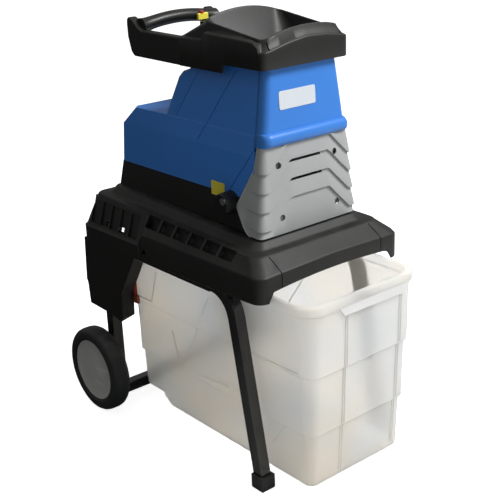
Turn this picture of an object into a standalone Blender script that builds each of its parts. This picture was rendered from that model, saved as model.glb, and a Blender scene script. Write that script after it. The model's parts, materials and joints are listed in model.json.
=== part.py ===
"""A quiet roller-type wood chipper on two wheels, with a slide-out collecting bin.

Units are metres, +Z is up, and the feeding side faces -Y, so +X is to the right of someone who feeds it.
The origin is on the floor, under the middle of the machine's bounding box.
"""

import math

import bmesh
import bpy
from mathutils import Matrix, Vector

# ---------------------------------------------------------------- clearances and stock
GAP = 0.0003  # between pieces that touch
RUN = 0.0015  # between a rotor and what it turns in
SLIDE = 0.002  # between the cutting parts and the chamber's inside
TUBE = 0.025  # square frame tube, outside
TUBE_WALL = 0.0018
PLASTIC = 0.0032  # wall of the moulded covers

# ---------------------------------------------------------------- overall sizes
BASE_HALF = 0.193  # half the width of the base deck
BASE_FRONT = -0.282
BASE_REAR = 0.340
BASE_LOW = 0.402  # height of the deck's lower edge, on which all the upper parts stand
HOUSING_RISE = 0.181  # from there to the joint between the black foot and the blue cover
BOX_RISE = 0.124  # from the joint to the top of the motor compartment
TOWER_RISE = 0.156  # from there to the top of the tower

# ---------------------------------------------------------------- cutting unit
ROLLER_X = 0.030
ROLLER_RADIUS = 0.044
ROLLER_FRONT = -0.146
ROLLER_LENGTH = 0.132
ROLLER_REAR = ROLLER_FRONT + ROLLER_LENGTH
ROLLER_TEETH = 8
TOOTH_DEPTH = 0.007
SHAFT_RADIUS = 0.010
CHAMBER_WALL = 0.008
CHAMBER_LEFT = -0.070
CHAMBER_SPACE = 0.006  # between the roller and the chamber's right wall
OPENING_HALF = ROLLER_X + ROLLER_RADIUS + 0.024  # the deck's opening under the cutting chamber
OPENING_FRONT = ROLLER_FRONT - 0.012
OPENING_REAR = ROLLER_REAR + 0.042
FLANGE_HALF = OPENING_HALF + 0.014
FLANGE_FRONT = OPENING_FRONT - 0.006
FLANGE_REAR = OPENING_REAR + 0.022
FLANGE_THICK = 0.006
LIP = 0.002  # edge of the chute, held under the chamber's flange
CHUTE_WALL = 0.0025
CHUTE_LOW = BASE_LOW + 0.043
BEARING_RADIUS = 0.0175
SCREW_RADIUS = 0.005
SCREW_HEAD_RADIUS = 0.0075
PLATE_TRAVEL = 0.006

# ---------------------------------------------------------------- gears and motor
GEAR_CASE_WALL = 0.004
OUTPUT_TEETH = 32
PINION_TEETH = 8
TOOTH_MODULE = 0.00245
TOOTH_TIP = 0.9  # tooth height above the pitch circle, in modules
TOOTH_ROOT = 1.15  # and below it
TOOTH_TIP_SHARE = 0.10  # half the width of a tooth at its tip, as a share of the pitch
TOOTH_ROOT_SHARE = 0.33
GEAR_WIDTH = 0.014
GEAR_SPACE = 0.003  # beside and around each gear
GEAR_BACK = 0.020  # behind the rear gear, for the motor's shaft
COVER_THICK = 0.012
GEAR_CASE_DEPTH = GEAR_CASE_WALL + 2 * GEAR_WIDTH + 2 * GEAR_SPACE + GEAR_BACK + COVER_THICK
LAY_RADIUS = 0.006
LAY_ANGLE = math.radians(124)  # from the roller's shaft to the lay shaft
MOTOR_ANGLE = math.radians(-22)  # from the lay shaft to the motor
SHAFT_STEP = (OUTPUT_TEETH + PINION_TEETH) * TOOTH_MODULE / 2  # between the shafts of two meshed gears
MOTOR_X = ROLLER_X + SHAFT_STEP * (math.cos(LAY_ANGLE) + math.cos(MOTOR_ANGLE))
MOTOR_RADIUS = 0.056
MOTOR_LENGTH = 0.112
MOTOR_WALL = 0.007
MOTOR_SHAFT = 0.006
MOTOR_SPACE = 0.0063  # between the motor and the cover round it
SHIELD_THICK = 0.006
FAN_RADIUS = 0.045
FAN_WIDTH = 0.010
CAPACITOR_RADIUS = 0.0185
CAPACITOR_LENGTH = 0.085
CAPACITOR_SPACE = 0.012  # between the capacitor and the housing's wall

# ---------------------------------------------------------------- base deck
BASE_SHOULDER_FRONT = BASE_LOW + 0.066
BASE_SHOULDER_REAR = BASE_LOW + 0.040
DECK_HALF = BASE_HALF - 0.025
DECK_FRONT = BASE_FRONT + 0.038
DECK_REAR = BASE_REAR - 0.032
DECK_TOP_FRONT = BASE_LOW + 0.091
DECK_TOP_REAR = BASE_LOW + 0.105
PLINTH_RISE = 0.018
PLINTH_MARGIN = 0.012  # how far the plinth stands out round the housing's foot
APRON_RISE = 0.034  # height of the bin's mouth above the base's lower edge
APRON_ARCH = 0.010
LEG_INNER = BASE_HALF - TUBE - 0.009  # inner face of the frame tubes
POST_INNER = LEG_INNER + 0.0015  # inner face of the front corner posts

# ---------------------------------------------------------------- housing
FOOT_HALF = max(FLANGE_HALF + 0.0085, MOTOR_X + MOTOR_RADIUS + MOTOR_SPACE + PLASTIC + 0.007)
FOOT_FRONT = FLANGE_FRONT - 0.004
FOOT_REAR = DECK_REAR - 0.023
FOOT_RIM = 0.012  # height of the upright rim round the foot
WAIST_Z = BASE_LOW + HOUSING_RISE
WAIST_REAR = FOOT_REAR - 0.017
FRONT_SPLIT = FOOT_FRONT - 0.017  # joint between the blue cover and the front panel
BOX_TOP = WAIST_Z + BOX_RISE
BOX_BREAK = BOX_TOP - 0.039  # where the compartment's edges start to lean in
BOX_REAR = WAIST_REAR - 0.002
BOX_TOP_REAR = BOX_REAR - 0.042
BOX_HALF_LOW = FOOT_HALF - 0.0025
BOX_HALF_BREAK = FOOT_HALF - 0.0070
BOX_HALF_TOP = FOOT_HALF - 0.0130
TOWER_TOP = BOX_TOP + TOWER_RISE
TOWER_REAR_LOW = 0.092
TOWER_REAR_TOP = TOWER_REAR_LOW - 0.066
TOWER_HALF_LOW = BOX_HALF_TOP - 0.001
TOWER_HALF_TOP = TOWER_HALF_LOW - 0.0195
GRILLE_TOP = BOX_TOP - 0.0225
GRILLE_FRONT_LOW = FOOT_FRONT - 0.051
GRILLE_FRONT_TOP = GRILLE_FRONT_LOW + 0.006
GRILLE_HALF_LOW = FOOT_HALF + 0.005
GRILLE_HALF_TOP = GRILLE_HALF_LOW - 0.017
GRILLE_WING_Z = WAIST_Z - 0.019  # height of the rearmost point of its cheeks
SLOT_LENGTH = 0.082
SLOT_HEIGHT = 0.004
SLOT_X = -0.009
SLOT_DROPS = (0.0295, 0.0665)  # of the two vent slots, below the grille's top
GRILLE_SCREW_X = 0.0735
GRILLE_SCREW_DROPS = (0.0345, 0.1395)
GRILLE_SCREW_RADIUS = 0.0035
GRILLE_SCREW_HEAD = 0.0018
FACE_WAIST = GRILLE_FRONT_TOP + 0.0015  # front face at the bulge
FACE_TOP = FACE_WAIST + 0.0075  # front face at the hopper
BULGE_TOP = BOX_TOP + 0.008
BULGE_LOW = GRILLE_TOP + 0.0025
BULGE_OUT = 0.008
PLATE_LENGTH = 0.093
PLATE_HEIGHT = 0.035
PLATE_THICK = 0.0008
PLATE_LOW = BULGE_TOP + 0.039
PLATE_X = -0.0195

# ---------------------------------------------------------------- places of the cutting parts
ROLLER_Z = WAIST_Z + 0.013
CHAMBER_HIGH = ROLLER_Z + ROLLER_RADIUS + 0.020
ADJUSTER_Y = ROLLER_FRONT + 0.016
ADJUSTER_Z = ROLLER_Z - 0.019
ADJUSTER_OUT = FOOT_HALF + 0.0295
ADJUSTER_HEAD = 0.009
BOSS_Y = ADJUSTER_Y + 0.009
BOSS_Z = ADJUSTER_Z - 0.008
BOSS_RADIUS = 0.019

# ---------------------------------------------------------------- hopper and handle
HOPPER_HALF = TOWER_HALF_TOP + 0.024
HOPPER_FRONT = FACE_TOP - 0.014
HOPPER_REAR = TOWER_REAR_TOP + 0.020
HOPPER_LOW = TOWER_TOP - 0.0295
HOPPER_SHOULDER = TOWER_TOP + 0.009
RIM_HALF = HOPPER_HALF - 0.013
RIM_SET = 0.012  # from the skirt's front to the rim
RIM_FRONT_Z = HOPPER_SHOULDER + 0.018
RIM_REAR_Z = HOPPER_SHOULDER + 0.041
RIM_ARCH = 0.015  # rise of the front lip and the rear wall towards their middle
HOPPER_SEAT = 0.003  # how far the rib that sits on the tower reaches past its wall
RIM_REAR = TOWER_REAR_TOP - 0.056
THROAT_HALF = 0.052
THROAT_FRONT = ROLLER_FRONT - 0.004
THROAT_REAR = ROLLER_REAR - 0.026
THROAT_TOP = TOWER_TOP - 0.063
THROAT_LOW = CHAMBER_HIGH + 0.040
ARM_WIDTH = 0.021
ARM_TOP = HOPPER_SHOULDER + 0.003
ARM_LOW = ARM_TOP - 0.057
ARM_END = 0.200
HORN_TOP = ARM_TOP + 0.024
GRIP_Y = ARM_END - 0.020
GRIP_Z = ARM_TOP + 0.004
GRIP_RADIUS = 0.0125
SPIGOT_RADIUS = 0.0080
SPIGOT_SPACE = 0.0005
SOCKET_DEPTH = 0.008
GRIP_BOW = 0.014

# ---------------------------------------------------------------- switch unit
SWITCH_HALF = 0.0285
SWITCH_X = HOPPER_HALF - ARM_WIDTH - GAP - SWITCH_HALF
SWITCH_FRONT = HOPPER_REAR + 0.024
SWITCH_REAR = ARM_END - 0.050
SWITCH_LOW = ARM_LOW + 0.008
SWITCH_TOP = ARM_TOP + 0.003
SWITCH_WALL = 0.003
BUTTON_RADIUS = 0.0085
BUTTON_LENGTH = 0.012
BUTTON_TRAVEL = 0.004
BUTTON_STAND = BUTTON_TRAVEL + 0.002
RESET_RADIUS = 0.004
START_AT = (SWITCH_X - 0.012, SWITCH_REAR - 0.022)
STOP_AT = (SWITCH_X + 0.012, SWITCH_REAR - 0.022)
RESET_AT = (SWITCH_X - 0.014, SWITCH_FRONT + 0.020)
KNOB_AT = (SWITCH_X + 0.010, SWITCH_FRONT + 0.024)
KNOB_RADIUS = 0.011
KNOB_STEM = 0.0037
KNOB_HEIGHT = 0.010
INLET_RADIUS = 0.0165
INLET_WALL = 0.0025
INLET_LENGTH = 0.034
INLET_OUT = 0.012
INLET_Z = (SWITCH_LOW + SWITCH_TOP) / 2 - 0.002

# ---------------------------------------------------------------- legs, wheels
RAIL_Z = BASE_LOW - 0.004 + TUBE / 2  # centre line of the tubes under the deck
LEG_LEAN = math.radians(10.3)
LEG_BEND = 0.065
LEG_FOOT_Y = BASE_FRONT + 0.0315  # centre line of the front legs at the floor
FOOT_CAP = TUBE + 0.009
FOOT_CAP_TOP = 0.032
FOOT_CAP_SOLE = 0.006
AXLE_Y = BASE_REAR - 0.068
AXLE_RADIUS = 0.006
WHEEL_RADIUS = 0.100
WHEEL_WIDTH = 0.044
WHEEL_INNER = BASE_HALF + 0.007
WHEEL_OUT = WHEEL_INNER + WHEEL_WIDTH
TYRE_DEPTH = 0.027
TYRE_SHOULDER = 0.010
HUB_RADIUS = WHEEL_RADIUS - TYRE_DEPTH
HUB_WEB = 0.004
HUB_BOSS = 0.014
SPACER_RADIUS = 0.012
CROSSBAR_LOW = 0.014
COVER_FRONT_TOP = AXLE_Y - 0.159
COVER_FRONT_LOW = AXLE_Y - 0.092
COVER_REAR = BASE_REAR - 0.002
COVER_LOW = 2 * WHEEL_RADIUS + 0.026
COVER_DEPTH = 0.0335
COVER_KNEE = BASE_LOW - 0.102  # height at which the cover's front edge turns upright

# ---------------------------------------------------------------- collecting bin
BIN_DRAWN = 0.087  # how far it is drawn out in the rest pose
BIN_SIDE_SPACE = 0.0035  # between its rim and the frame
BIN_END_SPACE = 0.0255  # between its closed floor step and the crossbar
BIN_RIM_HALF = LEG_INNER - BIN_SIDE_SPACE
BIN_RIM_TOP = BASE_LOW + 0.0195
BIN_RIM_LOW = BASE_LOW - 0.0035
BIN_RIM_FRONT = BASE_FRONT - 0.003 - BIN_DRAWN
BIN_RIM_OVERHANG = 0.0125
BIN_LENGTH = BASE_REAR - BASE_FRONT - 0.006
BIN_TAPER = 0.020
BIN_LOW = 0.020
BIN_HEEL = CROSSBAR_LOW + TUBE + 0.005  # raised floor at the rear, which passes over the crossbar
BIN_HEEL_Y = AXLE_Y - TUBE / 2 - BIN_END_SPACE - BIN_DRAWN
BIN_WALL = 0.0030
BIN_RAIL_CLEAR = 0.004  # from the end of the leg's bend to the rail
BIN_RAIL_THICK = 0.002
LOCK_TOP = BASE_LOW - 0.040
LOCK_THICK = 0.007
LOCK_LENGTH = 0.087
INTERLOCK_DEPTH = 0.028

BLACK = ("black_plastic", (0.018, 0.018, 0.017), 0.55, 0.0)
BLUE = ("blue_plastic", (0.035, 0.16, 0.52), 0.42, 0.0)
GREY = ("grey_plastic", (0.45, 0.47, 0.48), 0.5, 0.0)
MILKY = ("milky_plastic", (0.74, 0.73, 0.69), 0.4, 0.0)
PAINTED = ("painted_steel", (0.012, 0.012, 0.012), 0.25, 0.0)
RUBBER = ("rubber", (0.010, 0.012, 0.013), 0.8, 0.0)
HUB_GREY = ("hub_plastic", (0.13, 0.13, 0.125), 0.55, 0.0)
STEEL = ("steel", (0.55, 0.55, 0.54), 0.35, 1.0)
CAST = ("cast_aluminium", (0.50, 0.51, 0.52), 0.55, 0.9)
RED = ("red_plastic", (0.42, 0.03, 0.02), 0.45, 0.0)
GREEN = ("green_plastic", (0.03, 0.30, 0.06), 0.45, 0.0)
PLATE = ("plate", (0.66, 0.70, 0.73), 0.4, 0.0)


# ================================================================ scene and helpers
def clear_scene():
    for found in list(bpy.data.objects):
        bpy.data.objects.remove(found, do_unlink=True)


def make_collection(name):
    collection = bpy.data.collections.new(name)
    bpy.context.scene.collection.children.link(collection)
    return collection


def make_material(part_name, finish):
    kind, colour, roughness, metallic = finish
    material = bpy.data.materials.new(f"{part_name}_{kind}")
    material.use_nodes = True
    shader = material.node_tree.nodes["Principled BSDF"]
    shader.inputs["Base Color"].default_value = (*colour, 1.0)
    shader.inputs["Roughness"].default_value = roughness
    shader.inputs["Metallic"].default_value = metallic
    return material


def add_part(name, mesh_source, finish, origin=(0.0, 0.0, 0.0)):
    """Make a named object from a bmesh in world coordinates, with its own origin and material."""
    mesh = bpy.data.meshes.new(name)
    bmesh.ops.translate(mesh_source, verts=mesh_source.verts, vec=-Vector(origin))
    mesh_source.to_mesh(mesh)
    mesh_source.free()
    mesh.shade_smooth()
    mesh.set_sharp_from_angle(angle=math.radians(35))
    part = bpy.data.objects.new(name, mesh)
    part.location = origin
    mesh.materials.append(make_material(name, finish))
    PARTS.objects.link(part)
    return part


def box_mesh(low, high):
    low, high = Vector(low), Vector(high)
    mesh = bmesh.new()
    size = Matrix.Diagonal((*(high - low), 1.0))
    bmesh.ops.create_cube(mesh, size=1.0, matrix=Matrix.Translation((low + high) / 2) @ size)
    return mesh


def box(name, low, high, finish, origin=(0.0, 0.0, 0.0), rounding=0.0):
    part = add_part(name, box_mesh(low, high), finish, origin)
    if rounding:
        round_edges(part, rounding)
    return part


def round_edges(part, width, segments=2):
    bevel = part.modifiers.new("rounded edges", "BEVEL")
    bevel.width = width
    bevel.segments = segments
    bevel.limit_method = "ANGLE"
    bevel.angle_limit = math.radians(40)


TURNS = {
    "X": Matrix.Rotation(math.radians(90), 4, "Y"),
    "Y": Matrix.Rotation(math.radians(-90), 4, "X"),
    "Z": Matrix.Identity(4),
}


def rod_mesh(axis, start, length, radius, sides=24):
    """A cylinder that begins at start and runs length along +axis."""
    mesh = bmesh.new()
    middle = Vector(start) + TURNS[axis] @ Vector((0, 0, length / 2))
    place = Matrix.Translation(middle) @ TURNS[axis]
    bmesh.ops.create_cone(
        mesh, cap_ends=True, segments=sides, radius1=radius, radius2=radius, depth=length, matrix=place
    )
    return mesh


def rod(name, axis, start, length, radius, finish, sides=24):
    part = add_part(name, rod_mesh(axis, start, length, radius, sides), finish, start)
    return part


def turned(name, axis, centre, profile, finish, steps=32):
    """A turned piece with a hole: profile is a closed outline of (radius, height along the axis)."""
    mesh = bpy.data.meshes.new(name)
    count = len(profile)
    points = [(radius, 0.0, height) for radius, height in profile]
    mesh.from_pydata(points, [(i, (i + 1) % count) for i in range(count)], [])
    mesh.materials.append(make_material(name, finish))
    part = bpy.data.objects.new(name, mesh)
    part.matrix_world = Matrix.Translation(centre) @ TURNS[axis]
    PARTS.objects.link(part)
    screw = part.modifiers.new("turned", "SCREW")
    screw.steps = steps
    screw.render_steps = steps
    screw.use_merge_vertices = True
    screw.merge_threshold = 0.00005
    screw.use_smooth_shade = True
    return part


def loft_mesh(rings, loop=False):
    """Skin a row of rings that have the same number of points, capped at both ends or joined in a loop."""
    mesh = bmesh.new()
    rows = [[mesh.verts.new(point) for point in ring] for ring in rings]
    pairs = list(zip(rows, rows[1:]))
    if loop:
        pairs.append((rows[-1], rows[0]))
    else:
        mesh.faces.new(rows[0])
        mesh.faces.new(rows[-1])
    for lower, upper in pairs:
        for i in range(len(lower)):
            j = (i + 1) % len(lower)
            mesh.faces.new((lower[i], lower[j], upper[j], upper[i]))
    bmesh.ops.recalc_face_normals(mesh, faces=mesh.faces)
    return mesh


def loft(name, rings, finish, loop=False, origin=(0.0, 0.0, 0.0)):
    return add_part(name, loft_mesh(rings, loop), finish, origin)


def corner_points(centre, radius, start_degrees, segments):
    """Points of a quarter arc in plan, from start_degrees on, counter-clockwise."""
    points = []
    for step in range(segments + 1):
        angle = math.radians(start_degrees + 90 * step / segments)
        points.append((centre[0] + radius * math.cos(angle), centre[1] + radius * math.sin(angle)))
    return points


def plan_ring(half, front, rear, radius, z_front, z_rear=None, segments=3, x_middle=0.0, arch=None):
    """A rounded rectangle in plan, whose height runs evenly from z_front to z_rear.

    With an arch, also 0, the short edges get extra points and rise by that much towards their middle.
    """
    z_rear = z_front if z_rear is None else z_rear
    left, right = x_middle - half, x_middle + half
    reach = half - radius
    middles = [] if arch is None else [x_middle + share * reach for share in (-0.67, -0.33, 0, 0.33, 0.67)]
    plan = []
    plan += corner_points((right - radius, rear - radius), radius, 0, segments)
    plan += [(x, rear) for x in reversed(middles)]
    plan += corner_points((left + radius, rear - radius), radius, 90, segments)
    plan += corner_points((left + radius, front + radius), radius, 180, segments)
    plan += [(x, front) for x in middles]
    plan += corner_points((right - radius, front + radius), radius, 270, segments)
    slope = (z_rear - z_front) / (rear - front)
    ring = []
    for x, y in plan:
        bow = (arch or 0.0) * (1 - ((x - x_middle) / half) ** 2)
        ring.append(Vector((x, y, z_front + slope * (y - front) + bow)))
    return ring


def shell(name, levels, wall, finish, origin=(0.0, 0.0, 0.0), segments=3):
    """An open-ended moulded shell: levels are (half, front, rear, radius, z_front, z_rear) of its outside."""
    outside = [plan_ring(*level, segments=segments) for level in levels]
    inside = []
    for half, front, rear, radius, z_front, z_rear in reversed(levels):
        inner_radius = max(radius - wall, 0.001)
        inside.append(
            plan_ring(half - wall, front + wall, rear - wall, inner_radius, z_front, z_rear, segments)
        )
    return loft(name, outside + inside, finish, loop=True, origin=origin)


def u_ring(half, front, rear, wall, z, corner, opens_to):
    """A U-shaped band in plan, open at the front or at the rear, with its two closed corners cut."""
    if opens_to == "rear":
        closed, ends, inward = front, rear, 1
    else:
        closed, ends, inward = rear, front, -1
    cut_x, cut_y = corner
    outer = [(half, ends), (half, closed + inward * cut_y)]
    outer += [(half - 0.3 * cut_x, closed + inward * 0.3 * cut_y), (half - cut_x, closed)]
    outer += [(-x, y) for x, y in reversed(outer)]
    lean = wall * 0.45
    inner = [(half - wall, ends), (half - wall, closed + inward * (cut_y + lean))]
    inner += [
        (half - 0.3 * cut_x - wall, closed + inward * (0.3 * cut_y + wall)),
        (half - cut_x - lean, closed + inward * wall),
    ]
    inner += [(-x, y) for x, y in reversed(inner)]
    return [Vector((x, y, z)) for x, y in outer + inner[::-1]]


def square_ring(centre, along, size):
    """A square outline round a path in the YZ plane, at right angles to the direction along."""
    side = Vector((1, 0, 0))
    up = side.cross(along).normalized()
    half = size / 2
    return [centre + side * a * half + up * b * half for a, b in ((1, 1), (-1, 1), (-1, -1), (1, -1))]


def square_tube(name, path, finish, origin=(0.0, 0.0, 0.0)):
    """A hollow square tube, open at both ends, along a path in a YZ plane."""
    rings = []
    for i, point in enumerate(path):
        before = path[max(i - 1, 0)]
        after = path[min(i + 1, len(path) - 1)]
        rings.append((point, (after - before).normalized()))
    outside = [square_ring(point, along, TUBE) for point, along in rings]
    inside = [square_ring(point, along, TUBE - 2 * TUBE_WALL) for point, along in reversed(rings)]
    return loft(name, outside + inside, finish, loop=True, origin=origin)


def profile_block(name, outline, x_low, x_high, finish, origin=(0.0, 0.0, 0.0)):
    """A solid between x_low and x_high whose side view is the outline, given as (y, z)."""
    ends = [[Vector((x, y, z)) for y, z in outline] for x in (x_low, x_high)]
    return loft(name, ends, finish, origin=origin)


def disc_ring(centre, radius_of, count, axis_place):
    """A ring of count points in the XZ plane at y = axis_place; radius_of gives the radius of point i."""
    ring = []
    for i in range(count):
        angle = 2 * math.pi * i / count
        radius = radius_of(i)
        ring.append(
            Vector((centre[0] + radius * math.cos(angle), axis_place, centre[1] + radius * math.sin(angle)))
        )
    return ring


def cutter(name, mesh_source):
    mesh = bpy.data.meshes.new(name)
    bmesh.ops.recalc_face_normals(mesh_source, faces=mesh_source.faces)
    mesh_source.to_mesh(mesh)
    mesh_source.free()
    tool = bpy.data.objects.new(name, mesh)
    tool.hide_render = True
    tool.display_type = "WIRE"
    CUTTERS.objects.link(tool)
    return tool


def combine(part, tool, operation="DIFFERENCE"):
    boolean = part.modifiers.new(f"{operation.lower()} {tool.name}", "BOOLEAN")
    boolean.operation = operation
    boolean.solver = "EXACT"
    boolean.object = tool


def between(value, low, high, at_low, at_high):
    """Straight-line value between two stations."""
    return at_low + (at_high - at_low) * (value - low) / (high - low)


# ================================================================ base deck
def plinth_levels():
    """The raised seat round the housing's foot: (half, front, rear) outside, and its top heights."""
    half = FOOT_HALF + PLINTH_MARGIN
    front = GRILLE_FRONT_LOW - PLINTH_MARGIN / 2
    rear = FOOT_REAR + PLINTH_MARGIN
    return half, front, rear


def deck_height(y):
    return between(y, DECK_FRONT, DECK_REAR, DECK_TOP_FRONT, DECK_TOP_REAR)


def seat_height(y):
    return deck_height(y) + PLINTH_RISE


def seat_ring(half, front, rear, radius, lift=0.0, x_middle=0.0):
    """A rounded rectangle in plan that lies lift above the plinth's sloping seat."""
    return plan_ring(
        half, front, rear, radius, seat_height(front) + lift, seat_height(rear) + lift, x_middle=x_middle
    )


def opening_level():
    z_front = seat_height(OPENING_FRONT)
    z_rear = seat_height(OPENING_REAR)
    return OPENING_HALF, OPENING_FRONT, OPENING_REAR, 0.010, z_front, z_rear


def build_base():
    half, front, rear = plinth_levels()
    edge = 0.004
    levels = [
        (BASE_HALF, BASE_FRONT, BASE_REAR, 0.022, BASE_LOW, BASE_LOW),
        (BASE_HALF, BASE_FRONT, BASE_REAR, 0.022, BASE_SHOULDER_FRONT, BASE_SHOULDER_REAR),
        (DECK_HALF, DECK_FRONT, DECK_REAR, 0.020, DECK_TOP_FRONT, DECK_TOP_REAR),
        (half, front, rear, 0.016, deck_height(front), deck_height(rear)),
        (half - edge, front + edge, rear - edge, 0.014, seat_height(front), seat_height(rear)),
        opening_level(),
    ]
    outside = [plan_ring(*level) for level in levels]
    inside = []
    for index, (half, front, rear, radius, z_front, z_rear) in reversed(list(enumerate(levels))):
        inset = 0.0 if index == len(levels) - 1 else PLASTIC
        drop = PLASTIC if index > 1 else 0.0
        plan = (half - inset, front + inset, rear - inset, radius - inset)
        inside.append(plan_ring(*plan, z_front - drop, z_rear - drop))
    base = loft("base", outside + inside, BLACK, loop=True)
    mouth_low = BASE_LOW - 0.01
    mouth_high = BASE_LOW + APRON_RISE
    steps = 8
    arch = [(-POST_INNER, mouth_low), (POST_INNER, mouth_low)]
    for step in range(steps + 1):
        x = POST_INNER * (1 - 2 * step / steps)
        arch.append((x, mouth_high + APRON_ARCH * (1 - (x / POST_INNER) ** 2)))
    depths = (BASE_FRONT - 0.01, BASE_FRONT + 0.05)
    combine(base, cutter("bin_mouth", loft_mesh([[Vector((x, y, z)) for x, z in arch] for y in depths])))
    return base


# ================================================================ housing
def build_lower_housing():
    """The black foot of the housing, a four-sided wall that stands on the base's seat."""
    seat_front = seat_height(FOOT_FRONT) + GAP
    seat_rear = seat_height(FOOT_REAR) + GAP
    levels = [
        (FOOT_HALF, FOOT_FRONT, FOOT_REAR, 0.012, seat_front, seat_rear),
        (FOOT_HALF, FOOT_FRONT, FOOT_REAR - 0.004, 0.012, seat_front + FOOT_RIM, seat_rear + FOOT_RIM),
        (BOX_HALF_LOW, FOOT_FRONT, WAIST_REAR, 0.012, WAIST_Z - GAP, WAIST_Z - GAP),
    ]
    housing = shell("lower_housing", levels, PLASTIC, BLACK)
    combine(housing, cutter("adjuster_hole", boss_hole()))
    combine(housing, cutter("foot_front_opening", grille_space()))
    return housing


def boss_hole():
    return rod_mesh("X", (-FOOT_HALF - 0.01, BOSS_Y, BOSS_Z), 0.03, BOSS_RADIUS + GAP)


def grille_space():
    """The room that the grille and its cheeks take out of the housing behind it."""
    outline = [(FOOT_FRONT - 0.1, grille_low() - 0.02), (grille_rears()[0][1], grille_low() - 0.02)]
    outline += [(rear + GAP, z) for z, rear in grille_rears()]
    outline += [(grille_rears()[-1][1], GRILLE_TOP + GAP), (FOOT_FRONT - 0.1, GRILLE_TOP + GAP)]
    return loft_mesh([[Vector((x, y, z)) for y, z in outline] for x in (-0.2, 0.2)])


def build_adjuster_bush():
    """The round boss in the left wall that guides the adjusting screw."""
    outer = -ADJUSTER_OUT + ADJUSTER_HEAD + PLATE_TRAVEL + GAP
    depth = CHAMBER_LEFT - GAP - outer
    bush = rod("adjuster_bush", "X", (outer, BOSS_Y, BOSS_Z), depth, BOSS_RADIUS, BLACK, sides=20)
    hole = rod_mesh("X", (outer - 0.01, ADJUSTER_Y, ADJUSTER_Z), depth + 0.02, SCREW_RADIUS + GAP, 16)
    combine(bush, cutter("screw_bore", hole))
    return bush


def build_motor_cover():
    """The blue cover: the motor compartment and, in front of it, the tower that carries the hopper."""
    low = (0.010, 0.010)
    tower_low = (0.036, 0.048)
    tower_top = (0.030, 0.034)
    levels = [
        (BOX_HALF_LOW, WAIST_REAR, WAIST_Z, low),
        (BOX_HALF_BREAK, BOX_REAR, BOX_BREAK, low),
        (BOX_HALF_TOP, BOX_TOP_REAR, BOX_TOP, low),
        (TOWER_HALF_LOW, TOWER_REAR_LOW, BOX_TOP + 0.002, tower_low),
        (TOWER_HALF_TOP, TOWER_REAR_TOP, TOWER_TOP, tower_top),
    ]
    rings = [u_ring(half, FRONT_SPLIT, rear, PLASTIC, z, corner, "front") for half, rear, z, corner in levels]
    cover = loft("motor_cover", rings, BLUE)
    combine(cover, cutter("boss_notch", boss_hole()))
    combine(cover, cutter("cover_front_opening", grille_space()))
    return cover


def face_y(z):
    """The front face of the blue front panel."""
    return between(z, BULGE_TOP, TOWER_TOP, FACE_WAIST, FACE_TOP)


def side_half(z):
    """Half the housing's width above the waist, in front of the tower."""
    if z < BOX_TOP:
        return between(z, BOX_BREAK, BOX_TOP, BOX_HALF_BREAK, BOX_HALF_TOP)
    return between(z, BOX_TOP, TOWER_TOP, TOWER_HALF_LOW, TOWER_HALF_TOP)


def build_front_panel():
    rear = FRONT_SPLIT - GAP
    corner = (0.008, 0.008)
    stations = [
        (BULGE_LOW, -BULGE_OUT * 0.3),
        (BULGE_LOW + 0.006, BULGE_OUT),
        (BULGE_TOP - 0.008, BULGE_OUT),
        (BULGE_TOP + 0.004, 0.0),
        (TOWER_TOP, 0.0),
    ]
    rings = []
    for z, out in stations:
        half = side_half(z) + max(out, 0.0) * 0.5
        rings.append(u_ring(half, face_y(z) - out, rear, PLASTIC, z, corner, "rear"))
    return loft("front_panel", rings, BLUE)


def grille_front(z):
    return between(z, seat_height(GRILLE_FRONT_LOW), GRILLE_TOP, GRILLE_FRONT_LOW, GRILLE_FRONT_TOP)


def grille_half(z):
    return between(z, seat_height(GRILLE_FRONT_LOW), GRILLE_TOP, GRILLE_HALF_LOW, GRILLE_HALF_TOP)


def grille_low():
    return seat_height(FOOT_FRONT) + GAP


def grille_rears():
    """Height and rear edge of the grille's cheeks, from the bottom up."""
    low = grille_low()
    return [
        (low, FOOT_FRONT - 0.017),
        (low + 0.006, FOOT_FRONT - 0.004),
        (GRILLE_WING_Z, FOOT_FRONT + 0.027),
        (GRILLE_TOP - 0.0335, FOOT_FRONT - 0.024),
        (GRILLE_TOP, FOOT_FRONT - 0.028),
    ]


def build_grille():
    """The grey front grille with its two cheeks, which hide the cutting unit's access opening."""
    rings = []
    for z, rear in grille_rears():
        rings.append(u_ring(grille_half(z), grille_front(z), rear, PLASTIC, z, (0.009, 0.009), "rear"))
    grille = loft("front_grille", rings, GREY)
    for index, drop in enumerate(SLOT_DROPS):
        z = GRILLE_TOP - drop
        low_corner = (SLOT_X - SLOT_LENGTH / 2, GRILLE_FRONT_LOW - 0.02, z - SLOT_HEIGHT / 2)
        high_corner = (SLOT_X + SLOT_LENGTH / 2, GRILLE_FRONT_LOW + 0.03, z + SLOT_HEIGHT / 2)
        combine(grille, cutter(f"vent_slot_{index + 1}", box_mesh(low_corner, high_corner)))
    return grille


def build_name_plate():
    """A bare plate on the front panel."""
    high = PLATE_LOW + PLATE_HEIGHT
    outline = [
        (face_y(PLATE_LOW) - GAP, PLATE_LOW),
        (face_y(high) - GAP, high),
        (face_y(high) - GAP - PLATE_THICK, high),
        (face_y(PLATE_LOW) - GAP - PLATE_THICK, PLATE_LOW),
    ]
    edges = (PLATE_X - PLATE_LENGTH / 2, PLATE_X + PLATE_LENGTH / 2)
    return profile_block("front_plate", outline, *edges, PLATE)


def build_grille_screws():
    places = [(sign * GRILLE_SCREW_X, GRILLE_TOP - drop) for drop in GRILLE_SCREW_DROPS for sign in (-1, 1)]
    for index, (x, z) in enumerate(places):
        start = (x, grille_front(z) - GRILLE_SCREW_HEAD - 0.0004, z)
        rod(f"grille_screw_{index + 1}", "Y", start, GRILLE_SCREW_HEAD, GRILLE_SCREW_RADIUS, STEEL, sides=12)


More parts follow.
